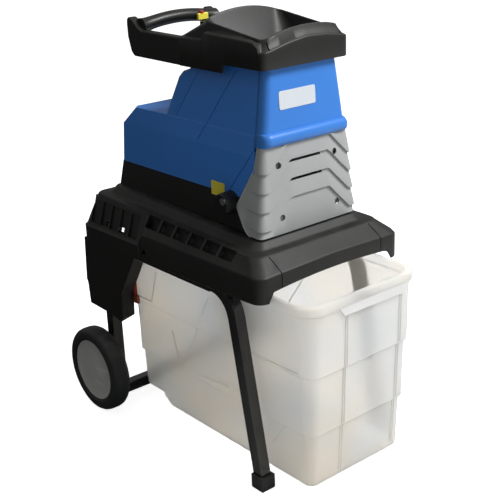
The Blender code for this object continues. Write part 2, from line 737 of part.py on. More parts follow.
# ================================================================ hopper and handle
def build_hopper():
    """A funnel with a skirt that sits over the tower; its rim rises from the front lip to the rear."""
    skirt = (HOPPER_HALF, HOPPER_FRONT, HOPPER_REAR)
    shoulder = (HOPPER_HALF - 0.008, HOPPER_FRONT + 0.004, HOPPER_REAR - 0.004)
    rim = (RIM_HALF, HOPPER_FRONT + RIM_SET, RIM_REAR)
    throat = (THROAT_HALF, THROAT_FRONT, THROAT_REAR)

    def inside(outline, wall=PLASTIC):
        half, front, rear = outline
        return half - wall, front + wall, rear - wall

    seat_z = TOWER_TOP + GAP
    seat_edge = (TOWER_HALF_TOP + HOPPER_SEAT, FACE_TOP - HOPPER_SEAT, TOWER_REAR_TOP + HOPPER_SEAT)
    rim_under = (inside(rim, 0.0072), RIM_FRONT_Z - 0.010, RIM_REAR_Z - 0.012)

    def level(outline, radius, z_front, z_rear=None, arch=0.0):
        return plan_ring(*outline, radius, z_front, z_rear, arch=arch)

    rings = [
        level(skirt, 0.012, HOPPER_LOW),
        level(skirt, 0.012, HOPPER_SHOULDER),
        level(shoulder, 0.012, HOPPER_SHOULDER + 0.012),
        level(rim, 0.016, RIM_FRONT_Z, RIM_REAR_Z, RIM_ARCH),
        level(inside(rim), 0.014, RIM_FRONT_Z, RIM_REAR_Z, RIM_ARCH),
        level(throat, 0.010, THROAT_TOP),
        level(throat, 0.010, THROAT_LOW),
        level(inside(throat, -PLASTIC), 0.012, THROAT_LOW),
        level(inside(throat, -PLASTIC), 0.012, THROAT_TOP - 0.003),
        level(rim_under[0], 0.012, rim_under[1], rim_under[2], RIM_ARCH),
        level(inside(seat_edge, PLASTIC + HOPPER_SEAT), 0.010, seat_z),
        level(seat_edge, 0.010, seat_z),
        level(seat_edge, 0.010, HOPPER_SHOULDER + 0.005),
        level(inside(shoulder), 0.010, HOPPER_SHOULDER + 0.005),
        level(inside(skirt), 0.010, HOPPER_SHOULDER - 0.004),
        level(inside(skirt), 0.010, HOPPER_LOW),
    ]
    return loft("hopper", rings, BLACK, loop=True)


def build_handle():
    """Two arms that run back from the hopper, tied together behind the tower, with upturned ends."""
    front = HOPPER_REAR + GAP
    outline = [
        (front, ARM_LOW),
        (ARM_END - 0.008, ARM_LOW + 0.002),
        (ARM_END + 0.016, ARM_TOP + 0.006),
        (ARM_END + 0.010, HORN_TOP - 0.003),
        (ARM_END - 0.004, HORN_TOP),
        (ARM_END - 0.020, HORN_TOP - 0.006),
        (ARM_END - 0.034, ARM_TOP + 0.002),
        (front, ARM_TOP - 0.003),
    ]
    for side, sign in (("left", -1), ("right", 1)):
        edges = sorted((sign * HOPPER_HALF, sign * (HOPPER_HALF - ARM_WIDTH)))
        arm = profile_block(f"{side}_handle_arm", outline, *edges, BLACK)
        out = 0.004
        socket_low = edges[1] - SOCKET_DEPTH if sign < 0 else edges[0] - out
        radius = SPIGOT_RADIUS + SPIGOT_SPACE
        socket = rod_mesh("X", (socket_low, GRIP_Y, GRIP_Z), SOCKET_DEPTH + out, radius, 16)
        combine(arm, cutter(f"{side}_grip_socket", socket))


def build_grip():
    """The bowed grip bar, with a spigot at each end that goes into the arms."""
    half = HOPPER_HALF - ARM_WIDTH - GAP
    reach = half + SOCKET_DEPTH - 0.002
    stations = [(-reach, SPIGOT_RADIUS), (-half, SPIGOT_RADIUS)]
    steps = 10
    for step in range(steps + 1):
        x = -half + 2 * half * step / steps
        stations.append((x, GRIP_RADIUS))
    stations += [(half, SPIGOT_RADIUS), (reach, SPIGOT_RADIUS)]
    rings = []
    sides = 12
    for x, radius in stations:
        bow = GRIP_BOW * max(0.0, 1 - (x / half) ** 2)
        ring = []
        for i in range(sides):
            angle = 2 * math.pi * i / sides
            ring.append(
                Vector((x, GRIP_Y + radius * math.cos(angle), GRIP_Z + bow + radius * math.sin(angle)))
            )
        rings.append(ring)
    return loft("handle_grip", rings, BLACK)


# ================================================================ switch unit

def build_switch_unit():
    low = (SWITCH_X - SWITCH_HALF, SWITCH_FRONT, SWITCH_LOW)
    high = (SWITCH_X + SWITCH_HALF, SWITCH_REAR, SWITCH_TOP)
    case = box("switch_box", low, high, BLACK)
    wall = SWITCH_WALL
    hollow = box_mesh(
        (low[0] + wall, low[1] + wall, low[2] - 0.01), (high[0] - wall, high[1] - wall, high[2] - wall)
    )
    combine(case, cutter("switch_hollow", hollow))
    for name, place, radius in (
        ("start_hole", START_AT, BUTTON_RADIUS),
        ("stop_hole", STOP_AT, BUTTON_RADIUS),
        ("reset_hole", RESET_AT, RESET_RADIUS),
        ("knob_hole", KNOB_AT, KNOB_STEM),
    ):
        hole = rod_mesh("Z", (*place, SWITCH_TOP - 0.02), 0.03, radius + GAP, 16)
        combine(case, cutter(name, hole))
    inlet_hole = rod_mesh("Y", (SWITCH_X, SWITCH_REAR - 0.01, INLET_Z), 0.02, INLET_RADIUS + GAP, 20)
    combine(case, cutter("inlet_hole", inlet_hole))
    for name, place, radius, finish in (
        ("start_button", START_AT, BUTTON_RADIUS, GREEN),
        ("stop_button", STOP_AT, BUTTON_RADIUS, RED),
        ("reset_button", RESET_AT, RESET_RADIUS, BLACK),
    ):
        start = (*place, SWITCH_TOP + BUTTON_STAND - BUTTON_LENGTH)
        rod(name, "Z", start, BUTTON_LENGTH, radius, finish, 16)
    knob = [
        disc_turned(KNOB_AT, radius, z)
        for radius, z in (
            (KNOB_STEM, SWITCH_TOP - KNOB_HEIGHT),
            (KNOB_STEM, SWITCH_TOP + GAP),
            (KNOB_RADIUS, SWITCH_TOP + GAP),
            (KNOB_RADIUS - 0.001, SWITCH_TOP + KNOB_HEIGHT),
        )
    ]
    loft("direction_knob", knob, BLACK, origin=(*KNOB_AT, SWITCH_TOP))
    start = (SWITCH_X, SWITCH_REAR + INLET_OUT - INLET_LENGTH, INLET_Z)
    inlet = rod("power_inlet", "Y", start, INLET_LENGTH, INLET_RADIUS, BLACK, 20)
    mouth = (SWITCH_X, SWITCH_REAR - 0.008, INLET_Z)
    socket = rod_mesh("Y", mouth, 0.03, INLET_RADIUS - INLET_WALL, 20)
    combine(inlet, cutter("inlet_socket", socket))


def disc_turned(centre, radius, z, sides=16):
    ring = []
    for i in range(sides):
        angle = 2 * math.pi * i / sides
        ring.append(Vector((centre[0] + radius * math.cos(angle), centre[1] + radius * math.sin(angle), z)))
    return ring


# ================================================================ frame
def side_x(sign):
    return sign * (LEG_INNER + TUBE / 2)


def front_leg_path(x, foot_z):
    """From the foot up the leaning leg, round the bend and back along the rail under the deck."""
    bend_centre_z = RAIL_Z - LEG_BEND
    turn_z = bend_centre_z + LEG_BEND * math.sin(LEG_LEAN)
    turn_y = LEG_FOOT_Y + turn_z * math.tan(LEG_LEAN)
    bend_centre_y = turn_y + LEG_BEND * math.cos(LEG_LEAN)
    path = [Vector((x, LEG_FOOT_Y + foot_z * math.tan(LEG_LEAN), foot_z))]
    steps = 6
    for step in range(steps + 1):
        angle = between(step, 0, steps, LEG_LEAN, math.pi / 2)
        path.append(
            Vector(
                (x, bend_centre_y - LEG_BEND * math.cos(angle), bend_centre_z + LEG_BEND * math.sin(angle))
            )
        )
    path.append(Vector((x, AXLE_Y - TUBE / 2 - GAP, RAIL_Z)))
    return path


def build_frame():
    for side, sign in (("left", -1), ("right", 1)):
        x = side_x(sign)
        square_tube(f"{side}_front_leg", front_leg_path(x, FOOT_CAP_SOLE + 0.004), PAINTED)
        build_foot_cap(side, x)
        rear_top = RAIL_Z + TUBE / 2
        upright = square_tube(
            f"{side}_rear_leg",
            [Vector((x, AXLE_Y, z)) for z in (CROSSBAR_LOW, rear_top)],
            PAINTED,
        )
        bore = rod_mesh("X", (x - TUBE, AXLE_Y, WHEEL_RADIUS), 2 * TUBE, AXLE_RADIUS + GAP, 20)
        combine(upright, cutter(f"{side}_axle_bore", bore))
        build_wheel(side, sign)
        build_leg_cover(side, sign)
        rail_edges = sorted((sign * (BIN_RIM_HALF - BIN_RIM_OVERHANG + 0.004), sign * (LEG_INNER + TUBE)))
        rail_top = RAIL_Z - TUBE / 2 - GAP
        bend_end = front_leg_path(x, FOOT_CAP_SOLE)[-2].y
        rail_low = (rail_edges[0], bend_end + BIN_RAIL_CLEAR, rail_top - BIN_RAIL_THICK)
        rail_high = (rail_edges[1], AXLE_Y - TUBE / 2 - 0.004, rail_top)
        box(f"{side}_bin_rail", rail_low, rail_high, PAINTED)
    inner = LEG_INNER - GAP
    low = (-inner, AXLE_Y - TUBE / 2, CROSSBAR_LOW)
    high = (inner, AXLE_Y + TUBE / 2, CROSSBAR_LOW + TUBE)
    box("rear_crossbar", low, high, PAINTED)


def build_foot_cap(side, x):
    half = FOOT_CAP / 2
    lean = math.tan(LEG_LEAN)

    def ring(size, z, follow):
        y = LEG_FOOT_Y + (z * lean if follow else 0.5 * FOOT_CAP_TOP * lean)
        return [Vector((x + a * size, y + b * size, z)) for a, b in ((1, 1), (-1, 1), (-1, -1), (1, -1))]

    pocket = TUBE / 2 / math.cos(LEG_LEAN) + GAP * 2
    rings = [
        ring(half - 0.001, 0.0, False),
        ring(half, 0.003, False),
        ring(half, FOOT_CAP_TOP, False),
        ring(pocket, FOOT_CAP_TOP, True),
        ring(pocket, FOOT_CAP_SOLE, True),
    ]
    return loft(f"{side}_foot_cap", rings, BLACK)


def build_wheel(side, sign):
    centre = Vector((sign * (WHEEL_OUT - WHEEL_WIDTH / 2), AXLE_Y, WHEEL_RADIUS))
    half = WHEEL_WIDTH / 2
    shoulder = TYRE_SHOULDER
    tyre = [
        (HUB_RADIUS, half - 0.004),
        (HUB_RADIUS + 0.010, half),
        (WHEEL_RADIUS - shoulder, half - 0.001),
        (WHEEL_RADIUS - 0.003, half - 0.006),
        (WHEEL_RADIUS, half - shoulder - 0.002),
        (WHEEL_RADIUS, -half + shoulder + 0.002),
        (WHEEL_RADIUS - 0.003, -half + 0.006),
        (WHEEL_RADIUS - shoulder, -half + 0.001),
        (HUB_RADIUS + 0.010, -half),
        (HUB_RADIUS, -half + 0.004),
    ]
    turned(f"{side}_tyre", "X", centre, tyre, RUBBER, steps=32)
    rim = HUB_RADIUS - GAP
    bore = AXLE_RADIUS + GAP
    face = half - 0.006
    web = HUB_WEB
    if sign > 0:
        faces = (face, face - web, -face)
        outline = [
            (bore, faces[0]),
            (rim, faces[0]),
            (rim, faces[2]),
            (rim - web, faces[2]),
            (rim - web, faces[1]),
            (HUB_BOSS, faces[1]),
            (HUB_BOSS, -half),
            (bore, -half),
        ]
    else:
        outline = [
            (bore, half),
            (HUB_BOSS, half),
            (HUB_BOSS, -face + web),
            (rim - web, -face + web),
            (rim - web, face),
            (rim, face),
            (rim, -face),
            (bore, -face),
        ]
    turned(f"{side}_hub", "X", centre, outline, HUB_GREY, steps=32)
    length = WHEEL_OUT - 0.004 - LEG_INNER
    start = LEG_INNER if sign > 0 else -LEG_INNER - length
    rod(f"{side}_axle", "X", (start, AXLE_Y, WHEEL_RADIUS), length, AXLE_RADIUS, STEEL, 20)
    inner_face = WHEEL_INNER - GAP
    outer_face = LEG_INNER + TUBE + GAP
    low = min(sign * outer_face, sign * inner_face)
    length = inner_face - outer_face
    spacer = rod(f"{side}_spacer", "X", (low, AXLE_Y, WHEEL_RADIUS), length, SPACER_RADIUS, BLACK, 20)
    hole = rod_mesh("X", (low - 0.01, AXLE_Y, WHEEL_RADIUS), 0.05, AXLE_RADIUS + GAP, 20)
    combine(spacer, cutter(f"{side}_spacer_bore", hole))


def build_leg_cover(side, sign):
    """The moulded cover on the outside of each rear leg, open towards the bin."""
    outer = BASE_HALF - 0.001
    inner = outer - COVER_DEPTH
    top = BASE_LOW - GAP

    outline = [
        (COVER_FRONT_TOP, top),
        (COVER_FRONT_LOW - 0.004, COVER_KNEE),
        (COVER_FRONT_LOW, COVER_LOW + 0.012),
        (COVER_FRONT_LOW + 0.030, COVER_LOW),
        (AXLE_Y - 0.012, COVER_LOW + 0.008),
        (COVER_REAR - 0.008, COVER_LOW + 0.010),
        (COVER_REAR - 0.004, COVER_KNEE - 0.012),
        (COVER_REAR, COVER_KNEE - 0.004),
        (COVER_REAR, top),
    ]
    ends = [[Vector((sign * x, y, z)) for y, z in outline] for x in (inner, outer)]
    cover = loft(f"{side}_leg_cover", ends, BLACK)
    hollow = [
        (COVER_FRONT_TOP + PLASTIC + 0.002, top + 0.01),
        (COVER_FRONT_LOW + PLASTIC - 0.002, COVER_KNEE),
        (COVER_FRONT_LOW + PLASTIC, COVER_LOW - 0.01),
        (COVER_REAR - 0.008 - PLASTIC, COVER_LOW - 0.01),
        (COVER_REAR - 0.008 - PLASTIC, top + 0.01),
    ]
    ends = [[Vector((sign * x, y, z)) for y, z in hollow] for x in (inner - 0.01, outer - PLASTIC)]
    combine(cover, cutter(f"{side}_cover_hollow", loft_mesh(ends)))
    notch_edges = sorted((sign * (inner - 0.01), sign * (LEG_INNER + TUBE + GAP)))
    notch_low = (notch_edges[0], COVER_FRONT_TOP - 0.02, RAIL_Z - TUBE / 2 - BIN_RAIL_THICK - 0.001)
    notch_high = (notch_edges[1], COVER_REAR + 0.02, top + 0.02)
    combine(cover, cutter(f"{side}_rail_notch", box_mesh(notch_low, notch_high)))
    return cover


# ================================================================ bin and its lock
def build_bin():
    """A tapered milky box with a rolled rim; its floor steps up at the rear."""
    rim_rear = BIN_RIM_FRONT + BIN_LENGTH
    top_half = BIN_RIM_HALF - BIN_RIM_OVERHANG
    top_front = BIN_RIM_FRONT + BIN_RIM_OVERHANG
    top_rear = rim_rear - BIN_RIM_OVERHANG
    low_half = top_half - BIN_TAPER
    low_front = top_front + BIN_TAPER / 2
    low_rear = top_rear - BIN_TAPER

    def ring(half, front, rear, radius, z, inset=0.0):
        return plan_ring(half - inset, front + inset, rear - inset, radius, z, segments=4)

    rings = [
        ring(low_half - 0.006, low_front + 0.006, low_rear - 0.006, 0.022, BIN_LOW),
        ring(low_half, low_front, low_rear, 0.028, BIN_LOW + 0.006),
        ring(top_half, top_front, top_rear, 0.036, BIN_RIM_LOW),
        ring(BIN_RIM_HALF - 0.003, BIN_RIM_FRONT + 0.003, rim_rear - 0.003, 0.044, BIN_RIM_LOW),
        ring(BIN_RIM_HALF, BIN_RIM_FRONT, rim_rear, 0.046, BIN_RIM_LOW + 0.005),
        ring(BIN_RIM_HALF, BIN_RIM_FRONT, rim_rear, 0.046, BIN_RIM_TOP - 0.005),
        ring(BIN_RIM_HALF - 0.004, BIN_RIM_FRONT + 0.004, rim_rear - 0.004, 0.044, BIN_RIM_TOP),
        ring(top_half + 0.001, top_front, top_rear, 0.036, BIN_RIM_TOP - 0.003),
        ring(top_half, top_front, top_rear, 0.034, BIN_RIM_LOW - 0.002, BIN_WALL),
        ring(low_half, low_front, low_rear, 0.026, BIN_HEEL + BIN_WALL + 0.004, BIN_WALL),
        ring(low_half - 0.006, low_front + 0.006, low_rear - 0.006, 0.020, BIN_HEEL + BIN_WALL, BIN_WALL),
    ]
    bin_box = loft("bin", rings, MILKY)
    heel = box_mesh((-0.2, BIN_HEEL_Y, 0.0), (0.2, BIN_HEEL_Y + 0.2, BIN_HEEL))
    combine(bin_box, cutter("bin_heel", heel))
    sump_half = low_half - 0.006 - BIN_WALL
    sump_front = low_front + 0.006 + BIN_WALL
    sump = plan_ring(sump_half, sump_front, BIN_HEEL_Y - BIN_WALL, 0.018, BIN_LOW + BIN_WALL)
    sump_top = [Vector((p.x, p.y, BIN_HEEL + BIN_WALL + 0.010)) for p in sump]
    combine(bin_box, cutter("bin_sump", loft_mesh([sump, sump_top])))
    lip_low = BIN_RIM_LOW - 0.010
    lip = box_mesh(
        (-0.078, BIN_RIM_FRONT + 0.003, lip_low), (0.110, BIN_RIM_FRONT + 0.0065, BIN_RIM_LOW + 0.012)
    )
    combine(bin_box, cutter("bin_pull_lip", lip), "UNION")
    return bin_box


def build_bin_lock():
    """A red slide on the left rear leg, with the switch that it works inside the leg cover."""
    low = (-LEG_INNER + 2 * GAP, AXLE_Y - 0.076, LOCK_TOP - LOCK_LENGTH)
    high = (low[0] + LOCK_THICK, AXLE_Y + 0.010, LOCK_TOP)
    box("bin_lock", low, high, RED, (low[0], AXLE_Y - 0.032, LOCK_TOP - LOCK_LENGTH / 2))
    switch_rear = AXLE_Y - TUBE / 2 - GAP
    low = (-LEG_INNER - 0.022, switch_rear - INTERLOCK_DEPTH, LOCK_TOP - 0.052)
    high = (-LEG_INNER - 0.002, switch_rear, LOCK_TOP - 0.002)
    box("interlock_switch", low, high, BLACK)


# ================================================================ cutting unit
def chamber_box():
    """Outside of the cutting chamber in plan: left, right, front, rear."""
    right = ROLLER_X + ROLLER_RADIUS + CHAMBER_SPACE + CHAMBER_WALL
    front = ROLLER_FRONT - SLIDE - CHAMBER_WALL
    rear = ROLLER_REAR + SLIDE + CHAMBER_WALL
    return CHAMBER_LEFT, right, front, rear


def build_chamber():
    left, right, front, rear = chamber_box()
    half = (right - left) / 2
    middle = (right + left) / 2
    wall = CHAMBER_WALL
    flange = (FLANGE_HALF, FLANGE_FRONT, FLANGE_REAR, 0.006)
    foot = 2 * GAP + LIP
    rings = [
        seat_ring(*flange, foot),
        seat_ring(*flange, foot + FLANGE_THICK),
        seat_ring(half, front, rear, 0.006, foot + FLANGE_THICK, middle),
        plan_ring(half, front, rear, 0.006, CHAMBER_HIGH, x_middle=middle),
        plan_ring(half - wall, front + wall, rear - wall, 0.003, CHAMBER_HIGH, x_middle=middle),
        seat_ring(half - wall, front + wall, rear - wall, 0.003, foot, middle),
    ]
    chamber = loft("cutting_chamber", rings, CAST, loop=True)
    seat = BEARING_RADIUS + GAP
    through = rod_mesh("Y", (ROLLER_X, front - 0.01, ROLLER_Z), rear - front + 0.02, seat, 28)
    combine(chamber, cutter("bearing_seats", through))
    screw_hole = rod_mesh("X", (left - 0.01, ADJUSTER_Y, ADJUSTER_Z), 0.03, SCREW_RADIUS + GAP, 16)
    combine(chamber, cutter("adjuster_bore", screw_hole))
    for name, start in (("front_bearing", front), ("rear_bearing", rear - CHAMBER_WALL)):
        outline = [
            (SHAFT_RADIUS + GAP, CHAMBER_WALL),
            (BEARING_RADIUS, CHAMBER_WALL),
            (BEARING_RADIUS, 0.0),
            (SHAFT_RADIUS + GAP, 0.0),
        ]
        turned(name, "Y", (ROLLER_X, start, ROLLER_Z), outline, STEEL, steps=28)


def build_roller():
    """The toothed cutting roller, in one piece with its shaft."""
    _, _, front, rear = chamber_box()
    count = ROLLER_TEETH * 4
    centre = (ROLLER_X, ROLLER_Z)

    def plain(radius):
        return lambda i: radius

    def toothed(i):
        return ROLLER_RADIUS - (TOOTH_DEPTH if i % 4 in (2, 3) else 0.0)

    stations = [
        (front - 0.002, plain(SHAFT_RADIUS)),
        (ROLLER_FRONT, plain(SHAFT_RADIUS)),
        (ROLLER_FRONT, toothed),
        (ROLLER_REAR, toothed),
        (ROLLER_REAR, plain(SHAFT_RADIUS)),
        (rear + GEAR_CASE_WALL + GEAR_WIDTH + GEAR_SPACE + 0.0015, plain(SHAFT_RADIUS)),
    ]
    rings = [disc_ring(centre, radius_of, count, y) for y, radius_of in stations]
    return loft("cutting_roller", rings, STEEL, origin=(ROLLER_X, ROLLER_FRONT, ROLLER_Z))


def build_pressure_plate():
    """The counter plate, pushed towards the roller by the adjusting screw."""
    left = CHAMBER_LEFT + CHAMBER_WALL + PLATE_TRAVEL + SLIDE
    right = ROLLER_X - ROLLER_RADIUS - PLATE_TRAVEL - SLIDE
    front = ROLLER_FRONT + SLIDE
    rear = ROLLER_REAR - SLIDE
    low = ROLLER_Z - 0.051
    high = low + 0.110
    outline = [(left, low), (left, high - 0.007), (left + 0.004, high), (right, low + 0.025), (right, low)]
    ends = [[Vector((x, y, z)) for x, z in outline] for y in (front, rear)]
    plate = loft("pressure_plate", ends, STEEL, origin=(left, (front + rear) / 2, ADJUSTER_Z))
    head = (-ADJUSTER_OUT, ADJUSTER_Y, ADJUSTER_Z)
    sides = 12

    def ring(x, radius):
        points = []
        for i in range(sides):
            angle = 2 * math.pi * i / sides
            points.append(
                Vector((x, ADJUSTER_Y + radius * math.cos(angle), ADJUSTER_Z + radius * math.sin(angle)))
            )
        return points

    head_rear = -ADJUSTER_OUT + ADJUSTER_HEAD
    rings = [
        ring(-ADJUSTER_OUT, SCREW_HEAD_RADIUS),
        ring(head_rear, SCREW_HEAD_RADIUS),
        ring(head_rear, SCREW_RADIUS),
        ring(left - GAP, SCREW_RADIUS),
    ]
    loft("adjusting_screw", rings, STEEL, origin=head)
    return plate


def build_chute():
    """The chute under the cutting chamber, which drops the chips into the bin."""
    left, right, front, rear = chamber_box()
    middle = (left + right) / 2
    half = (right - left) / 2
    wall = CHUTE_WALL
    lip = (FLANGE_HALF - 0.004, FLANGE_FRONT + 0.001, FLANGE_REAR - 0.001, 0.006)
    neck = (OPENING_HALF - 0.001, OPENING_FRONT + 0.001, OPENING_REAR - 0.001, 0.009)
    mouth = (half + 0.004, front + 0.004, rear + 0.012, 0.009)
    inner_mouth = (mouth[0] - wall, mouth[1] + wall, mouth[2] - wall, 0.007)
    throat = (half - CHAMBER_WALL, front + CHAMBER_WALL, rear - CHAMBER_WALL, 0.004)
    rings = [
        plan_ring(*mouth, CHUTE_LOW, x_middle=middle),
        seat_ring(*neck, -0.012),
        seat_ring(*neck, GAP),
        seat_ring(*lip, GAP),
        seat_ring(*lip, GAP + LIP),
        seat_ring(*throat, GAP + LIP, middle),
        plan_ring(*inner_mouth, CHUTE_LOW, x_middle=middle),
    ]
    return loft("discharge_chute", rings, BLACK, loop=True)


# ================================================================ drive
def gear_tip(teeth):
    return (teeth / 2 + TOOTH_TIP) * TOOTH_MODULE


def gear_outline(teeth, tooth_at):
    """(angle, radius) points of a straight-flanked gear; tooth_at is the direction of one tooth's middle."""
    tip = gear_tip(teeth)
    root = (teeth / 2 - TOOTH_ROOT) * TOOTH_MODULE
    pitch = 2 * math.pi / teeth
    rising = ((-TOOTH_ROOT_SHARE, root), (-TOOTH_TIP_SHARE, tip))
    falling = ((TOOTH_TIP_SHARE, tip), (TOOTH_ROOT_SHARE, root))
    outline = []
    for tooth in range(teeth):
        outline += [(tooth_at + (tooth + share) * pitch, radius) for share, radius in rising + falling]
    return outline


def polar_ring(centre, outline, y, radius=None):
    """Points at the outline's angles, at its own radii or all at one radius."""
    ring = []
    for angle, own_radius in outline:
        reach = own_radius if radius is None else radius
        ring.append(Vector((centre[0] + reach * math.cos(angle), y, centre[1] + reach * math.sin(angle))))
    return ring


def gear(name, centre, y, teeth, tooth_at, bore, finish):
    outline = gear_outline(teeth, tooth_at)
    rings = [
        polar_ring(centre, outline, y),
        polar_ring(centre, outline, y + GEAR_WIDTH),
        polar_ring(centre, outline, y + GEAR_WIDTH, bore),
        polar_ring(centre, outline, y, bore),
    ]
    return loft(name, rings, finish, loop=True, origin=(centre[0], y, centre[1]))


def pinion_outline(towards):
    """A pinion with the gap between two teeth facing the gear that drives it, at the direction towards."""
    return gear_outline(PINION_TEETH, towards + math.pi / PINION_TEETH)


def drive_centres():
    """Shaft centres in the XZ plane: roller, lay shaft, motor."""
    roller = Vector((ROLLER_X, ROLLER_Z))
    lay = roller + SHAFT_STEP * Vector((math.cos(LAY_ANGLE), math.sin(LAY_ANGLE)))
    motor = lay + SHAFT_STEP * Vector((math.cos(MOTOR_ANGLE), math.sin(MOTOR_ANGLE)))
    return roller, lay, motor


def build_drive():
    roller, lay, motor = drive_centres()
    chamber_rear = chamber_box()[3]
    case_front = chamber_rear + GAP
    case_rear = case_front + GEAR_CASE_DEPTH
    first = case_front + GEAR_CASE_WALL + GEAR_SPACE
    second = first + GEAR_WIDTH + GEAR_SPACE
    gear("output_gear", roller, first, OUTPUT_TEETH, LAY_ANGLE, SHAFT_RADIUS + GAP, STEEL)
    gear("lay_gear", lay, second, OUTPUT_TEETH, MOTOR_ANGLE, LAY_RADIUS + GAP, STEEL)
    build_lay_shaft(lay, case_front + GEAR_CASE_WALL + GAP, first, second, case_rear - COVER_THICK - 2 * GAP)
    build_gear_case(case_front, case_rear, roller, lay, motor)
    build_motor(motor, second, case_rear + GAP)


def build_lay_shaft(centre, front, first, second, rear):
    """The lay shaft, in one piece with the pinion that drives the output gear."""
    teeth = pinion_outline(LAY_ANGLE + math.pi)
    stations = [(front, LAY_RADIUS), (first, LAY_RADIUS), (first, None), (second - 0.001, None)]
    stations += [(second - 0.001, LAY_RADIUS), (rear, LAY_RADIUS)]
    rings = [polar_ring(centre, teeth, y, radius) for y, radius in stations]
    return loft("lay_shaft", rings, STEEL, origin=(centre.x, front, centre.y))


def build_gear_case(front, rear, roller, lay, motor):
    """A cast box round the gears, with a separate rear cover that carries the motor."""
    margin = gear_tip(OUTPUT_TEETH) + GEAR_SPACE + GEAR_CASE_WALL
    left = lay.x - margin
    right = roller.x + margin
    low = roller.y - margin
    high = lay.y + margin
    split = rear - COVER_THICK
    case = box("gearbox_case", (left, front, low), (right, split - GAP, high), CAST)
    wall = GEAR_CASE_WALL
    hollow = box_mesh((left + wall, front + wall, low + wall), (right - wall, split + 0.01, high - wall))
    combine(case, cutter("gearbox_hollow", hollow))
    shaft_hole = rod_mesh("Y", (roller.x, front - 0.01, roller.y), 0.03, SHAFT_RADIUS + GAP, 24)
    combine(case, cutter("gearbox_shaft_hole", shaft_hole))
    cover = box("gearbox_cover", (left, split, low), (right, rear, high), CAST)
    motor_hole = rod_mesh("Y", (motor.x, split - 0.01, motor.y), 0.05, gear_tip(PINION_TEETH) + 0.001, 24)
    combine(cover, cutter("motor_shaft_hole", motor_hole))


def build_motor(centre, second, front):
    """An induction motor: its barrel and end shield, its shaft with the driving pinion, and a cooling fan."""
    inner = MOTOR_RADIUS - MOTOR_WALL
    bore = MOTOR_SHAFT + GAP
    barrel = [
        (inner, MOTOR_LENGTH),
        (MOTOR_RADIUS, MOTOR_LENGTH),
        (MOTOR_RADIUS, 0.004),
        (MOTOR_RADIUS - 0.004, 0.0),
        (bore, 0.0),
        (bore, SHIELD_THICK),
        (inner, SHIELD_THICK),
    ]
    turned("motor_body", "Y", (centre.x, front, centre.y), barrel, CAST, steps=32)
    core_rear = front + MOTOR_LENGTH - SHIELD_THICK - FAN_WIDTH - 0.018
    teeth = pinion_outline(MOTOR_ANGLE + math.pi)
    core = inner - RUN
    stations = [
        (second, None),
        (second + GEAR_WIDTH, None),
        (second + GEAR_WIDTH, MOTOR_SHAFT),
        (front + 0.010, MOTOR_SHAFT),
        (front + 0.010, core),
        (core_rear, core),
        (core_rear, MOTOR_SHAFT),
        (front + MOTOR_LENGTH - 0.003, MOTOR_SHAFT),
    ]
    rings = [polar_ring(centre, teeth, y, radius) for y, radius in stations]
    loft("motor_shaft", rings, STEEL, origin=(centre.x, second, centre.y))
    rim = inner - GAP
    shield = [(bore, SHIELD_THICK), (rim, SHIELD_THICK), (rim, 0.0), (bore, 0.0)]
    shield_front = core_rear + 0.006
    turned("motor_end_shield", "Y", (centre.x, shield_front, centre.y), shield, CAST, steps=24)
    fan = [(bore, FAN_WIDTH), (FAN_RADIUS, FAN_WIDTH), (FAN_RADIUS, 0.4 * FAN_WIDTH), (bore, 0.0)]
    fan_front = shield_front + SHIELD_THICK + 0.004
    turned("cooling_fan", "Y", (centre.x, fan_front, centre.y), fan, BLACK, steps=24)
    start = front + 0.012
    z = seat_height(start + CAPACITOR_LENGTH) + CAPACITOR_RADIUS + GAP
    x = -FOOT_HALF + PLASTIC + CAPACITOR_RADIUS + CAPACITOR_SPACE
    rod("capacitor", "Y", (x, start, z), CAPACITOR_LENGTH, CAPACITOR_RADIUS, GREY, 20)


# ================================================================ assembly
clear_scene()
PARTS = make_collection("wood_chipper")
CUTTERS = make_collection("cutters")
build_base()
build_lower_housing()
build_adjuster_bush()
build_motor_cover()
build_front_panel()
build_grille()
build_name_plate()
build_grille_screws()
build_hopper()
build_handle()
build_grip()
build_switch_unit()
build_frame()
build_bin()
build_bin_lock()
build_chamber()
build_roller()
build_pressure_plate()
build_chute()
build_drive()
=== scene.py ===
"""Looks of the wood chipper: the finish of every surface and the moulded shapes round the fixed frame.

Units are metres, +Z is up and the grille faces -Y. A piece starts from the box of the frame node that it
stands for; heights and places written as plain numbers are in that same frame.
"""

import json
import math

import bmesh
import bpy
from mathutils import Matrix, Vector


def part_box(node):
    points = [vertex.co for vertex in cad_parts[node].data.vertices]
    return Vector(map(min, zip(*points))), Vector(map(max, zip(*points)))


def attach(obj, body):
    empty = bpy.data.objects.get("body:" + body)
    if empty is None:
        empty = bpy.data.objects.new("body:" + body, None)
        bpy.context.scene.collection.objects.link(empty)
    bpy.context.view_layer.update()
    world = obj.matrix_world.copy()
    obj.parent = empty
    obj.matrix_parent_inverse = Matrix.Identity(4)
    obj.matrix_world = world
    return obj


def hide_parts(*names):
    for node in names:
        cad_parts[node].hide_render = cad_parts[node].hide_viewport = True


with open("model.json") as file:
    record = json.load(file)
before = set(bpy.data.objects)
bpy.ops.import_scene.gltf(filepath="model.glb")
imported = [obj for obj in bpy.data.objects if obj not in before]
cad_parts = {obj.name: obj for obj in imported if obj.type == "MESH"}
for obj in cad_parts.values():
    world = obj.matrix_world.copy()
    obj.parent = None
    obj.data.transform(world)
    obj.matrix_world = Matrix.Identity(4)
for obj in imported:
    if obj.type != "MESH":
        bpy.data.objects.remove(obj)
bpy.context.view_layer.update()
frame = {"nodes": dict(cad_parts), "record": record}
NODES = frame["nodes"]


